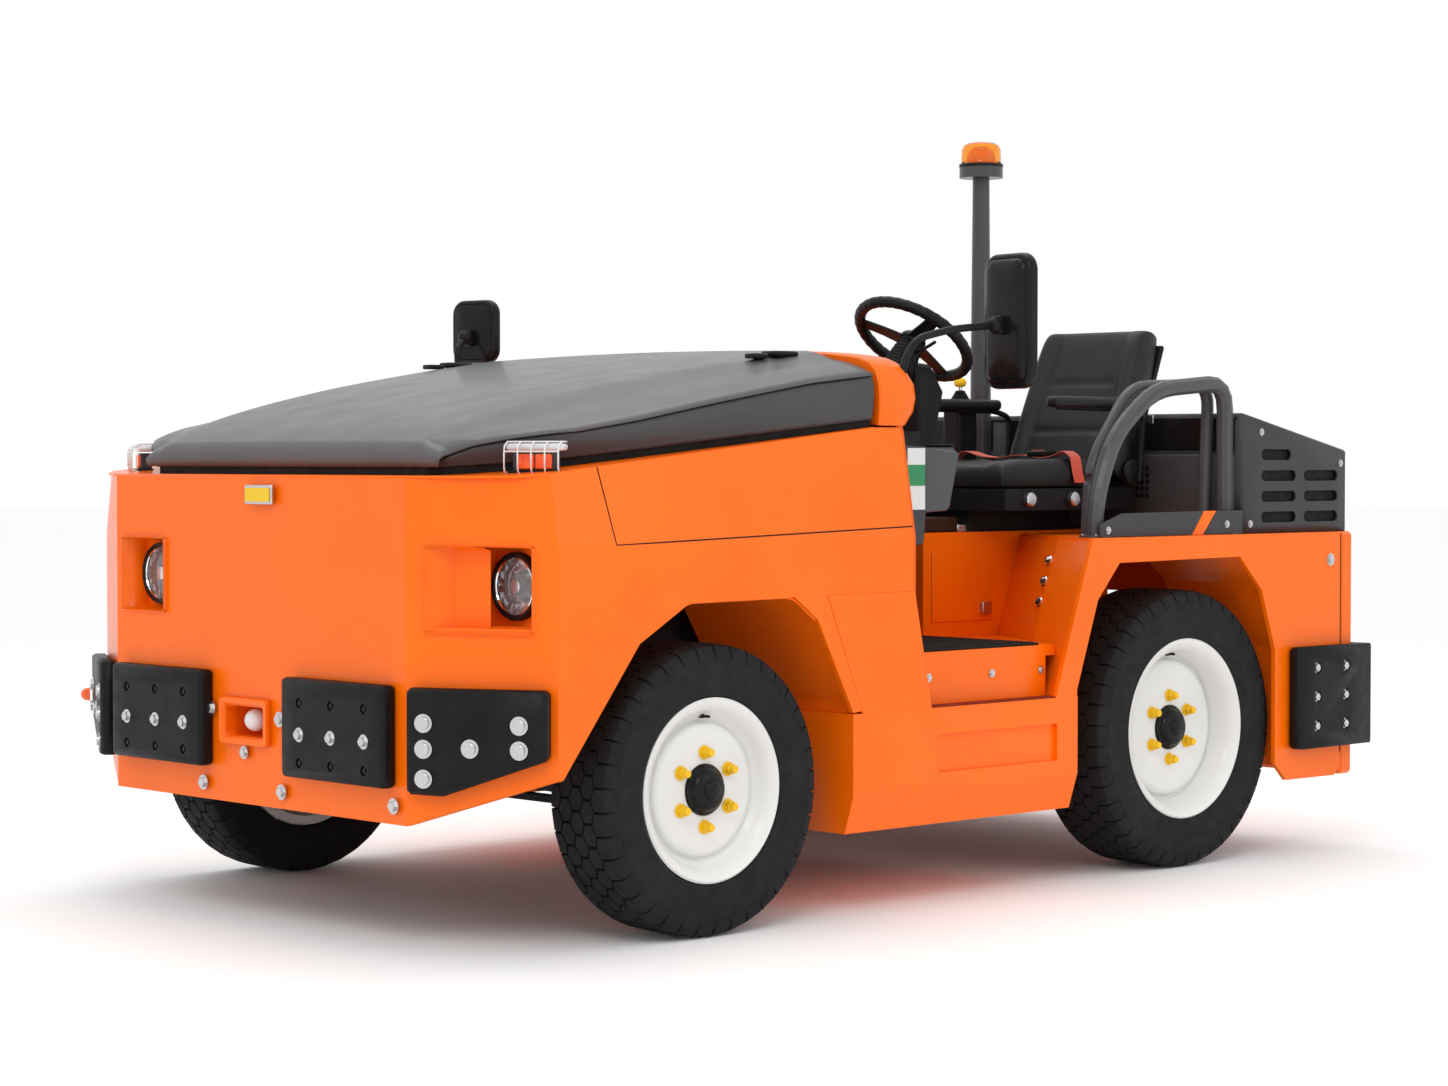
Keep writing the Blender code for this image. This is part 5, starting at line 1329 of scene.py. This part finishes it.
def steering():
    """The hand wheel with a grip rim, spokes and horn cap, and the boot on its column."""
    low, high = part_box("steering_wheel")
    centre = (low + high) / 2
    tilt = Vector((0, math.sin(STEERING_TILT), math.cos(STEERING_TILT)))
    joint = next(j for j in frame["joints"] if j["name"] == "steering_wheel_turn")
    if "pos_m" in joint:
        centre = Vector(joint["pos_m"])
    turn = Matrix.Rotation(-STEERING_TILT, 4, "X")
    shape = bmesh.new()
    around, across = 96, 16
    rings = []
    for i in range(around):
        angle = 2 * math.pi * i / around
        out = Vector((math.cos(angle), math.sin(angle), 0))
        grip = 0.0168 + 0.0009 * math.cos(angle * 36)
        ring = []
        for j in range(across):
            turn_j = 2 * math.pi * j / across
            offset = out * math.cos(turn_j) + Vector((0, 0, math.sin(turn_j)))
            ring.append(shape.verts.new(out * STEERING_RADIUS + offset * grip))
        rings.append(ring)
    for i, ring in enumerate(rings):
        following = rings[(i + 1) % around]
        for j in range(across):
            k = (j + 1) % across
            shape.faces.new((ring[j], following[j], following[k], ring[k]))
    wheel = from_bmesh("steering_rim", shape, BLACK, "steering_hand_wheel", centre, turn, 60)
    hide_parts("steering_wheel")
    spokes = bmesh.new()
    for number in range(3):
        angle = math.radians(90 + 120 * number)
        direction = Vector((math.cos(angle), math.sin(angle), 0))
        side = Vector((-direction.y, direction.x, 0))
        rings = []
        for t in (0.0, 0.2, 0.5, 0.8, 1.0):
            reach = 0.030 + t * 0.140
            width = 0.034 - 0.018 * math.sin(math.pi * min(1, t * 0.8 + 0.2) / 2) + 0.004 * t
            lift = -0.012 * (1 - t) ** 2
            middle = direction * reach + Vector((0, 0, lift))
            corners = [side * width + Vector((0, 0, 0.004)), side * width - Vector((0, 0, 0.004)),
                       -side * width - Vector((0, 0, 0.004)), -side * width + Vector((0, 0, 0.004))]
            rings.append([spokes.verts.new(middle + corner) for corner in corners])
        skin(spokes, rings, closed=True, capped=True)
    rounded(from_bmesh("steering_spokes", spokes, BLACK, "steering_hand_wheel", centre, turn, 50), 0.0015)
    hub = [
        (0, 0.014), (0.022, 0.013), (0.034, 0.009), (0.040, 0.001), (0.041, -0.010), (0.034, -0.022),
        (0, -0.024)
    ]
    lathe("steering_hub", hub, GLOSS_BLACK, "steering_hand_wheel", centre, tilt, 48, 50)
    keep("steering_column", BLACK, 0.004, 2)
    head = centre - tilt * 0.055
    folds = [(0.036 + 0.014 * (i / 14) + (0.0035 if i % 2 else 0.0), -0.095 * (i / 14)) for i in range(15)]
    folds = [(0.030, 0.0)] + folds + [(0.030, -0.095)]
    lathe("steering_boot", folds, GASKET, location=head + tilt * 0.028, direction=tilt, steps=40, angle=20)
    stalk = [
        head + Vector((0.03, 0, 0)), head + Vector((0.10, -0.02, 0.015)),
        head + Vector((0.145, -0.03, 0.03))
    ]
    tube("direction_stalk", curve_route(stalk, 0.03), 0.005, GLOSS_BLACK)


def lever():
    low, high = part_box("lever_console")
    centre = (low + high) / 2
    box = box_piece(
        "lever_box", (low.x, low.y, low.z), (high.x, high.y, high.z - 0.072), BLACK, radius=0.010,
        segments=4
    )
    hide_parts("lever_console")
    top = high.z - 0.072
    folds = [(0.030 - 0.018 * i / 8 + (0.003 if i % 2 else 0), 0.030 * i / 8) for i in range(9)]
    lathe(
        "lever_boot", [(0.030, -0.001)] + folds + [(0, 0.030)], GASKET, location=(centre.x, centre.y, top),
        steps=32, angle=20
    )
    tube(
        "lever_rod",
        [(centre.x, centre.y, top + 0.02), (centre.x, centre.y, high.z - 0.02)], 0.006,
        CHROME
    )
    knob = [(0, 0.030), (0.010, 0.029), (0.018, 0.022), (0.020, 0.012), (0.017, 0.004), (0.010, 0)]
    lathe(
        "lever_knob_yellow", knob, YELLOW, location=(centre.x, centre.y, high.z - 0.031), steps=36, angle=60
    )


# Seat


def cushion_mesh(width, depth, height, taper=1.0, bolster=0.0, crown=0.02, pinch=0.012):
    """A closed pad, x across, y along and z up, with a crowned top, bolsters and sewn channels."""
    nx, ny = 40, 44
    shape = bmesh.new()
    top, bottom = [], []
    for j in range(ny + 1):
        v = j / ny
        half = width / 2 * (1 + (taper - 1) * v)
        row_top, row_bottom = [], []
        for i in range(nx + 1):
            u = -1 + 2 * i / nx
            corner = pinch * (abs(u) ** 6) * (abs(2 * v - 1) ** 6)
            x = u * (half - corner)
            y = v * depth
            edge = (1 - abs(u) ** 9) * (1 - abs(2 * v - 1) ** 9)
            z = height * (0.55 + 0.45 * edge**0.35)
            z += crown * (1 - u * u) * math.sin(math.pi * v) * 0.6
            wing = smooth((abs(u) - 0.62) / 0.20) * (1 - smooth((abs(u) - 0.93) / 0.07))
            z += bolster * wing * edge
            seam_u = math.exp(-(((abs(u) - 0.62) / 0.022) ** 2))
            z -= 0.0085 * seam_u * edge
            reach = 1 - smooth((abs(u) - 0.58) / 0.04)
            for place in (0.30, 0.62):
                z -= 0.0070 * math.exp(-(((v - place) / 0.016) ** 2)) * edge * reach
            row_top.append(shape.verts.new((x, y, z)))
            row_bottom.append(shape.verts.new((x * 0.97, y * 0.98 + 0.01 * depth, 0)))
        top.append(row_top)
        bottom.append(row_bottom)
    for rows, flip in ((top, False), (bottom, True)):
        for row, following in zip(rows, rows[1:]):
            for i in range(nx):
                face = (row[i], row[i + 1], following[i + 1], following[i])
                shape.faces.new(face[::-1] if flip else face)
    rim = [top[0][i] for i in range(nx + 1)] + [top[j][nx] for j in range(1, ny + 1)]
    rim += [top[ny][i] for i in range(nx - 1, -1, -1)] + [top[j][0] for j in range(ny - 1, 0, -1)]
    base = [bottom[0][i] for i in range(nx + 1)] + [bottom[j][nx] for j in range(1, ny + 1)]
    base += [bottom[ny][i] for i in range(nx - 1, -1, -1)] + [bottom[j][0] for j in range(ny - 1, 0, -1)]
    for i in range(len(rim)):
        k = (i + 1) % len(rim)
        shape.faces.new((rim[k], rim[i], base[i], base[k]))
    return shape


def padded_piece(name, shape, location, turn, node):
    obj = from_bmesh(name, shape, VINYL, "chassis", location, turn, 60)
    subdivision = obj.modifiers.new("soft", "SUBSURF")
    subdivision.levels = 1
    subdivision.render_levels = 1
    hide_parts(node)


def seat():
    low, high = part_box("seat_cushion")
    width, depth, height = high - low
    middle_x = (low.x + high.x) / 2
    shape = cushion_mesh(width, depth, height * 0.86, bolster=0.016, crown=0.014)
    padded_piece("seat_pad", shape, (middle_x, low.y, low.z + 0.001), None, "seat_cushion")
    back_low, back_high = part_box("seat_back")
    length = (back_high.z - back_low.z) / math.cos(SEAT_LEAN) - 0.035
    back_width = back_high.x - back_low.x
    shape = cushion_mesh(back_width + 0.03, length, 0.082, taper=0.86, bolster=0.020, crown=0.012)
    turn = Matrix.Rotation(math.pi / 2 - SEAT_LEAN, 4, "X")
    rear_y = back_low.y + 0.100
    padded_piece("seat_backrest", shape, (middle_x, rear_y, back_low.z + 0.006), turn, "seat_back")
    shell = bmesh.new()
    thick = 0.016
    add_box(
        shell, (-back_width / 2 + 0.012, 0.02, -thick - 0.001),
        (back_width / 2 - 0.012, length - 0.03, -0.001)
    )
    place = (middle_x, rear_y, back_low.z + 0.006)
    rounded(from_bmesh("seat_back_shell", shell, BLACK, "chassis", place, turn, 50), 0.008, 4)
    seat_fittings(middle_x, low, high, rear_y)


def seat_fittings(middle_x, low, high, rear_y):
    base_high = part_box("seat_base")[1]
    keep("seat_base", BLACK, 0.008, 3)
    for name, side in SIDES:
        x = middle_x + side * (high.x - low.x) / 2
        arm_z = high.z + 0.155
        arm = curve_route(
            [(x + side * 0.020, rear_y - 0.01, base_high.z + 0.02),
             (x + side * 0.022, rear_y + 0.01, arm_z - 0.02),
             (x + side * 0.022, rear_y - 0.06, arm_z),
             (x + side * 0.022, low.y + 0.21, arm_z + 0.004)], 0.03)
        tube(f"armrest_bar_{name}", arm, 0.009, BLACK)
        box_piece(f"armrest_{name}", (x + side * 0.022 - 0.024, low.y + 0.18, arm_z + 0.002),
                  (x + side * 0.022 + 0.024, rear_y - 0.05, arm_z + 0.036), VINYL, radius=0.014, segments=5)
        lathe(
            f"recline_cover_{name}", [(0.042, 0), (0.042, 0.008), (0.034, 0.014), (0, 0.016)], BLACK,
            location=(x + side * 0.002, rear_y - 0.02, base_high.z + 0.045), direction=(side, 0, 0),
            steps=40
        )
    knob = [(0.018, 0), (0.021, 0.004), (0.021, 0.020), (0.017, 0.024), (0, 0.025)]
    for number, y in enumerate((low.y + 0.10, low.y + 0.30)):
        lathe(f"seat_knob_{number}", knob, STEEL, location=(base_high.x - 0.002, y, base_high.z - 0.032),
              direction=(1, 0, 0), steps=24)
    belt(middle_x, low, high)


def belt(middle_x, low, high):
    """A lap belt lying over the cushion, with its buckle."""
    half = (high.x - low.x) / 2
    y = high.y - 0.155
    top = high.z
    shape = bmesh.new()
    rows = []
    width = 0.024
    for i in range(49):
        t = -1 + i / 24
        x = middle_x + t * (half + 0.012)
        drop = 0.075 * smooth((abs(t) - 0.90) / 0.10)
        z = top + 0.010 + 0.012 * math.exp(-(((abs(t) - 0.76) / 0.12) ** 2)) - drop + 0.004 * math.cos(t * 9)
        bend = y + 0.03 * math.cos(t * 2.2)
        ring = [
            (x, bend - width, z), (x, bend + width, z), (x, bend + width, z + 0.0022),
            (x, bend - width, z + 0.0022)
        ]
        rows.append([shape.verts.new(point) for point in ring])
    skin(shape, rows, closed=True, capped=True)
    from_bmesh("lap_belt", shape, WEBBING, smooth_angle=50)
    box_piece("belt_buckle", (middle_x + 0.035, y - 0.032 + 0.03, top + 0.010),
              (middle_x + 0.105, y + 0.032 + 0.03, top + 0.028), GLOSS_BLACK, radius=0.005, segments=3)
    box_piece("belt_button", (middle_x + 0.045, y - 0.018 + 0.03, top + 0.0275),
              (middle_x + 0.068, y + 0.018 + 0.03, top + 0.0305), WEBBING, radius=0.002)


# Rear body


def rear_box():
    """The grey cover: slotted sides, front panels, a perforated cabinet face, lid seam and deck trims."""
    low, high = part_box("rear_box")
    box = keep("rear_box", SIDE_GREY, 0.004, 3)
    front = low.y
    for name, x0, x1 in (("L", 0.03, 0.95), ("R", -0.95, -0.03)):
        box_piece(
            f"rear_box_panel_{name}", (x0, front - 0.006, 1.245), (x1, front - 0.0004, 1.345), GLOSS_BLACK,
            radius=0.003
        )
        box_piece(f"rear_box_lower_{name}", (x0, front - 0.030, DECK_Z + 0.015), (x1, front - 0.0004, 1.232),
                  CABINET_GREY, radius=0.006, segments=3)
    # The perforations are flat black discs on the face: painted shade where the holes would show the dark
    # inside
    holes = bmesh.new()
    for i in range(5):
        for j in range(5):
            place = (0.555 + i * 0.020, front - 0.0312, 1.105 + j * 0.021)
            at = Matrix.Translation(place) @ axis_turn((0, -1, 0))
            add_lathe(holes, [(0.0068, 0), (0.0068, 0.0006), (0, 0.0006)], 14, at)
    from_bmesh("rear_box_perforation_shade", holes, GASKET)
    spans = [(1.290, 1.442, 1.2315), (1.290, 1.467, 1.167), (1.508, 1.685, 1.167), (1.290, 1.467, 1.1037),
             (1.508, 1.685, 1.1037), (1.290, 1.467, 1.0405), (1.508, 1.685, 1.0405)]
    for name, side in SIDES:
        x = side * high.x
        # Each slot is a shallow pocket, and the black sheet at its bottom is painted shade for the dark
        # inside of the box
        cut, dark = bmesh.new(), bmesh.new()
        for y0, y1, z in spans:
            for target, outline, depths in (
                (cut, capsule(y0, y1, z, 0.0165), (-0.012, 0.006)),
                (dark, capsule(y0 - 0.002, y1 + 0.002, z, 0.0185), (-0.016, -0.0115)),
            ):
                rings = [[Vector((x + side * d, y, h)) for y, h in outline] for d in depths]
                loft_rings(target, rings, True, True)
        carve(box, hidden(f"rear_box_slots_{name}", cut))
        from_bmesh(f"rear_box_slot_shade_{name}", dark, GASKET, smooth_angle=30)
        places = [(x, 1.29, 1.300), (x, 1.700, 1.205), (x, 1.235, DECK_Z + 0.030)]
        bolts(f"rear_box_side_bolts_{name}", places, (side, 0, 0), 0.0075, 0.006, STEEL)
        plate = sorted((side * 0.972, side * 0.9785))
        trims = [[(0.520, 0.992), (0.522, 1.030), (0.620, 1.060), (1.003, 1.063), (0.945, 0.992)],
                 [(1.005, 0.992), (1.070, 1.063), (1.194, 1.063), (1.194, 0.992)]]
        for number, outline in enumerate(trims):
            prism(f"deck_trim_{name}_{number}", outline, plate[0], plate[1], SIDE_GREY)
        stripe = [(0.949, 0.992), (1.007, 1.063), (1.066, 1.063), (1.001, 0.992)]
        prism(f"deck_stripe_{name}", stripe, plate[0], plate[1] - 0.001 * side * (side > 0), ORANGE)
        bolts(
            f"deck_trim_bolts_{name}",
            [(side * 0.9785, 0.556, 1.012), (side * 0.9785, 1.115, 1.022)], (side, 0, 0),
            0.0075, 0.006, STEEL
        )
        bolts(
            f"fender_bolt_{name}", [(side * (BODY_X + 0.0003), 1.615, 0.905)], (side, 0, 0), 0.013,
            0.008, STEEL
        )
        strip_along(f"shut_line_rear_{name}", side, [(1.668, 0.985), (1.668, 0.300)], SHUT_LINE_WIDTH, GASKET)
    lid = high.z
    strip = bmesh.new()
    add_box(strip, (low.x + 0.02, front - 0.003, lid - 0.018), (high.x - 0.02, front + 0.004, lid - 0.012))
    from_bmesh("rear_box_seam", strip, GASKET)
    for number, x in enumerate((-0.6, 0.6)):
        box_piece(
            f"rear_box_hinge_{number}", (x - 0.04, front - 0.010, lid - 0.030),
            (x + 0.04, front - 0.002, lid - 0.004), STEEL, radius=0.002
        )


def handrails():
    """The two bent tubes on each side, with their foot flanges and bolts."""
    for name, side in SIDES:
        keep(f"handrail_{name}", TUBE_GREY)
        low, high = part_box(f"handrail_{name}")
        x = (low.x + high.x) / 2
        top = high.z - 0.025
        foot_y, rear_y = low.y + 0.025, high.y - 0.025
        flange = [(0.046, 0), (0.046, 0.005), (0.044, 0.006), (0.0255, 0.006), (0.0255, 0.0)]
        for end, y in (("front", foot_y), ("rear", rear_y)):
            lathe(
                f"handrail_flange_{end}_{name}", flange, TUBE_GREY, location=(x, y, DECK_Z + 0.0005),
                steps=40
            )
            spots = [Vector((x + 0.036 * math.cos(a), y + 0.036 * math.sin(a), DECK_Z + 0.0064))
                     for a in (math.radians(45 + 90 * i) for i in range(4))]
            bolts(f"handrail_bolts_{end}_{name}", spots, (0, 0, 1), 0.0045, 0.004, STEEL)
        inner = x - side * 0.065
        corners = [
            (inner, foot_y + 0.045, DECK_Z + 0.0006), (inner, foot_y + 0.045, DECK_Z + 0.100),
            (inner, foot_y + 0.070, DECK_Z + 0.230), (inner, foot_y + 0.240, top - 0.012),
            (inner, rear_y + 0.004, top + 0.004), (inner, rear_y - 0.020, DECK_Z + 0.0006)
        ]
        tube(f"handrail_inner_{name}", curve_route(corners, 0.075), 0.019, TUBE_GREY)


def beacon():
    low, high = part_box("beacon_lens")
    centre = (low + high) / 2
    keep("beacon_pole", TUBE_GREY, 0.004)
    radius = (high.x - low.x) / 2
    height = high.z - low.z
    profile = [(radius - 0.003, 0.0), (radius, 0.004)]
    for i in range(1, 8):
        z = 0.004 + (height - 0.026) * i / 7
        profile.append((radius - 0.0012 * (i % 2) - 0.002 * i / 7, z))
    profile += [
        (radius - 0.009, height - 0.010), (radius - 0.022, height - 0.003), (0.02, height), (0, height)
    ]
    dome = lathe("beacon_dome", profile, AMBER, location=(centre.x, centre.y, low.z), steps=64, angle=25)
    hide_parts("beacon_lens")
    core = [(0.0, height - 0.022), (0.024, height - 0.026), (0.030, height * 0.4), (0.034, 0.002)]
    lathe("beacon_core", core, AMBER_GLOW, location=(centre.x, centre.y, low.z), steps=40)
    ring = [
        (radius + 0.002, 0.0005), (radius + 0.006, -0.002), (radius + 0.006, -0.010),
        (radius + 0.002, -0.012)
    ]
    lathe("beacon_clamp", ring, BLACK, location=(centre.x, centre.y, low.z), steps=64)
    foot = [(0.075, 0.0), (0.075, 0.006), (0.062, 0.010), (0.042, 0.014), (0.0385, 0.030), (0.0385, 0.0)]
    pole_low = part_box("beacon_pole")[0]
    lathe("beacon_foot", foot, TUBE_GREY, location=(centre.x, centre.y, pole_low.z + 0.0005), steps=48)


def mirror_head(name, centre, half_x, half_z, thick, turn):
    """A rounded housing with a domed, rimmed back towards -Y and a glass towards +Y."""
    shape = bmesh.new()
    corner = min(half_x, half_z) * 0.50
    rings = []
    for scale, y in (
        (0.955, thick / 2), (0.985, thick / 2), (1.0, thick / 2 - 0.004), (1.0, thick / 2 - 0.016),
        (0.985, thick / 2 - 0.024), (0.955, thick / 2 - 0.029), (0.90, thick / 2 - 0.0315),
        (0.865, thick / 2 - 0.0325), (0.85, thick / 2 - 0.031), (0.835, thick / 2 - 0.034),
        (0.78, -thick / 2 + 0.009), (0.62, -thick / 2 + 0.004), (0.40, -thick / 2 + 0.001),
        (0.15, -thick / 2)
    ):
        inset = half_x * (1 - scale)
        curve = max(0.004, corner * min(1, scale + 0.03) * (half_x - inset) / half_x)
        outline = rounded_rectangle(half_x - inset, half_z - inset, curve, 7)
        rings.append([Vector((x, y, z)) for x, z in outline])
    loft_rings(shape, rings, False, True)
    housing = from_bmesh(f"mirror_housing_{name}", shape, GLOSS_BLACK, "chassis", centre, turn, 40)
    glass = bmesh.new()
    rings = []
    for s, y in ((0.955, thick / 2 - 0.004), (0.955, thick / 2 - 0.0015), (0.93, thick / 2 - 0.001)):
        outline = rounded_rectangle(half_x * s, half_z - half_x * (1 - s), corner * s * 0.9, 7)
        rings.append([Vector((x, y, z)) for x, z in outline])
    loft_rings(glass, rings, True, True)
    from_bmesh(f"mirror_glass_{name}", glass, MIRROR, "chassis", centre, turn, 40)
    return housing


def mirror_clamp(name, joint, turn):
    """The ball at the arm's end and the block that holds it on the housing's back."""
    ball = [(0.023 * math.sin(math.pi * i / 14), 0.023 * math.cos(math.pi * i / 14)) for i in range(15)]
    lathe(f"mirror_ball_{name}", ball, BLACK, location=joint, steps=32)
    shape = bmesh.new()
    add_box(shape, (-0.020, 0.0, -0.026), (0.020, 0.034, 0.026))
    rounded(from_bmesh(f"mirror_clamp_{name}", shape, GLOSS_BLACK, "chassis", joint, turn, 50), 0.006, 3)


def mirrors():
    """Black mirror heads on bent arms, with ball joints and clamps."""
    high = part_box("mirror_L")[1]
    turn = Matrix.Rotation(math.radians(-8), 4, "Z")
    centre = Vector((0.925, high.y - 0.045, 1.605))
    housing = mirror_head("L", centre, 0.100, 0.190, 0.050, turn)
    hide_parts("mirror_L")
    joint = centre + turn @ Vector((0.004, -0.050, -0.012))
    route = [
        (0.925, -0.262, 1.395), (0.925, -0.255, 1.470), (0.925, -0.205, 1.545), (0.925, -0.06, 1.575),
        tuple(joint)
    ]
    tube("mirror_arm_L", curve_route(route, 0.045), 0.0105, BLACK)
    mirror_clamp("L", joint, turn)
    low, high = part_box("mirror_R")
    turn = Matrix.Rotation(math.radians(10), 4, "Z")
    centre = Vector(((low.x + high.x) / 2 - 0.008, high.y - 0.030, high.z - 0.100))
    housing = mirror_head("R", centre, 0.088, 0.100, 0.044, turn)
    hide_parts("mirror_R")
    joint = centre + turn @ Vector((0.0, -0.045, -0.020))
    route = [(-0.900, -0.330, 1.488), (-0.905, -0.335, 1.560), tuple(joint)]
    tube("mirror_arm_R", curve_route(route, 0.035), 0.0105, BLACK)
    mirror_clamp("R", joint, turn)
    foot = [(0.022, 0), (0.022, 0.006), (0.014, 0.012), (0.011, 0.022), (0, 0.024)]
    lathe("mirror_foot_R", foot, BLACK, location=(-0.900, -0.330, 1.486), steps=28)
    lathe("mirror_foot_L", foot, BLACK, location=(0.925, -0.262, 1.400), direction=(1, 0.2, 0.3), steps=28)


def rear_details():
    """Plate bolts and tail lamps on the tail."""
    y = TAIL_Y
    for name, side in SIDES:
        x = side * 0.90
        box_piece(
            f"tail_lamp_base_{name}", (x - 0.055, y + 0.0003, 0.80), (x + 0.055, y + 0.018, 0.93), BLACK,
            radius=0.006
        )
        box_piece(
            f"tail_lamp_lens_{name}", (x - 0.045, y + 0.012, 0.812), (x + 0.045, y + 0.028, 0.918),
            TREAD_RED, radius=0.008, segments=4
        )
    places = [(x, y + 0.0003, z) for x in (-0.5, -0.3, 0.3, 0.5) for z in (0.34, 0.90)]
    bolts("tail_plate_bolts", places, (0, 1, 0), 0.012, 0.009, STEEL)


# Stage


def studio():
    mesh = bpy.data.meshes.new("floor")
    size = 60.0
    mesh.from_pydata(
        [(-size, -size, 0), (size, -size, 0), (size, size, 0), (-size, size, 0)], [], [(0, 1, 2, 3)]
    )
    floor = linked("floor", mesh)
    floor.data.materials.append(new_material("studio_floor", (0.97, 0.97, 0.97), 0.7))
    floor.location.z = -0.0005
    world = bpy.data.worlds.new("studio")
    world.use_nodes = True
    world.node_tree.nodes["Background"].inputs["Color"].default_value = (1.0, 1.0, 1.0, 1)
    world.node_tree.nodes["Background"].inputs["Strength"].default_value = 1.0
    bpy.context.scene.world = world
    bpy.context.scene.view_settings.view_transform = "Standard"
    for name, place, size, power in (
        ("key", (5.0, -5.5, 6.0), 3.0, 130),
        ("fill", (7.0, 2.0, 3.0), 4.0, 30),
        ("top", (-1.0, 0.5, 6.5), 5.0, 130),
    ):
        lamp = bpy.data.lights.new(name, "AREA")
        lamp.size = size
        lamp.energy = power
        obj = bpy.data.objects.new(name, lamp)
        obj.location = place
        aim = Vector((0, 0, 0.9)) - Vector(place)
        obj.rotation_euler = aim.to_track_quat("-Z", "Y").to_euler()
        bpy.context.scene.collection.objects.link(obj)


def camera():
    data = bpy.data.cameras.new("camera")
    data.lens = CAMERA_LENS
    data.sensor_width = 36
    obj = bpy.data.objects.new("camera", data)
    obj.location = CAMERA_PLACE
    obj.rotation_euler = (math.pi / 2 - CAMERA_PITCH, 0, CAMERA_AZIMUTH)
    bpy.context.scene.collection.objects.link(obj)
    bpy.context.scene.camera = obj


camera()
studio()
body_panels()
hood()
wheels()
pads()
front_details()
headlamp_trays()
for lamp_name, lamp_side in SIDES:
    headlamp(lamp_name)
    turn_lamp(lamp_name, lamp_side)
floor_and_steps()
entry_buttons()
pedestal_details()
dash()
steering()
lever()
seat()
rear_box()
handrails()
beacon()
mirrors()
rear_details()
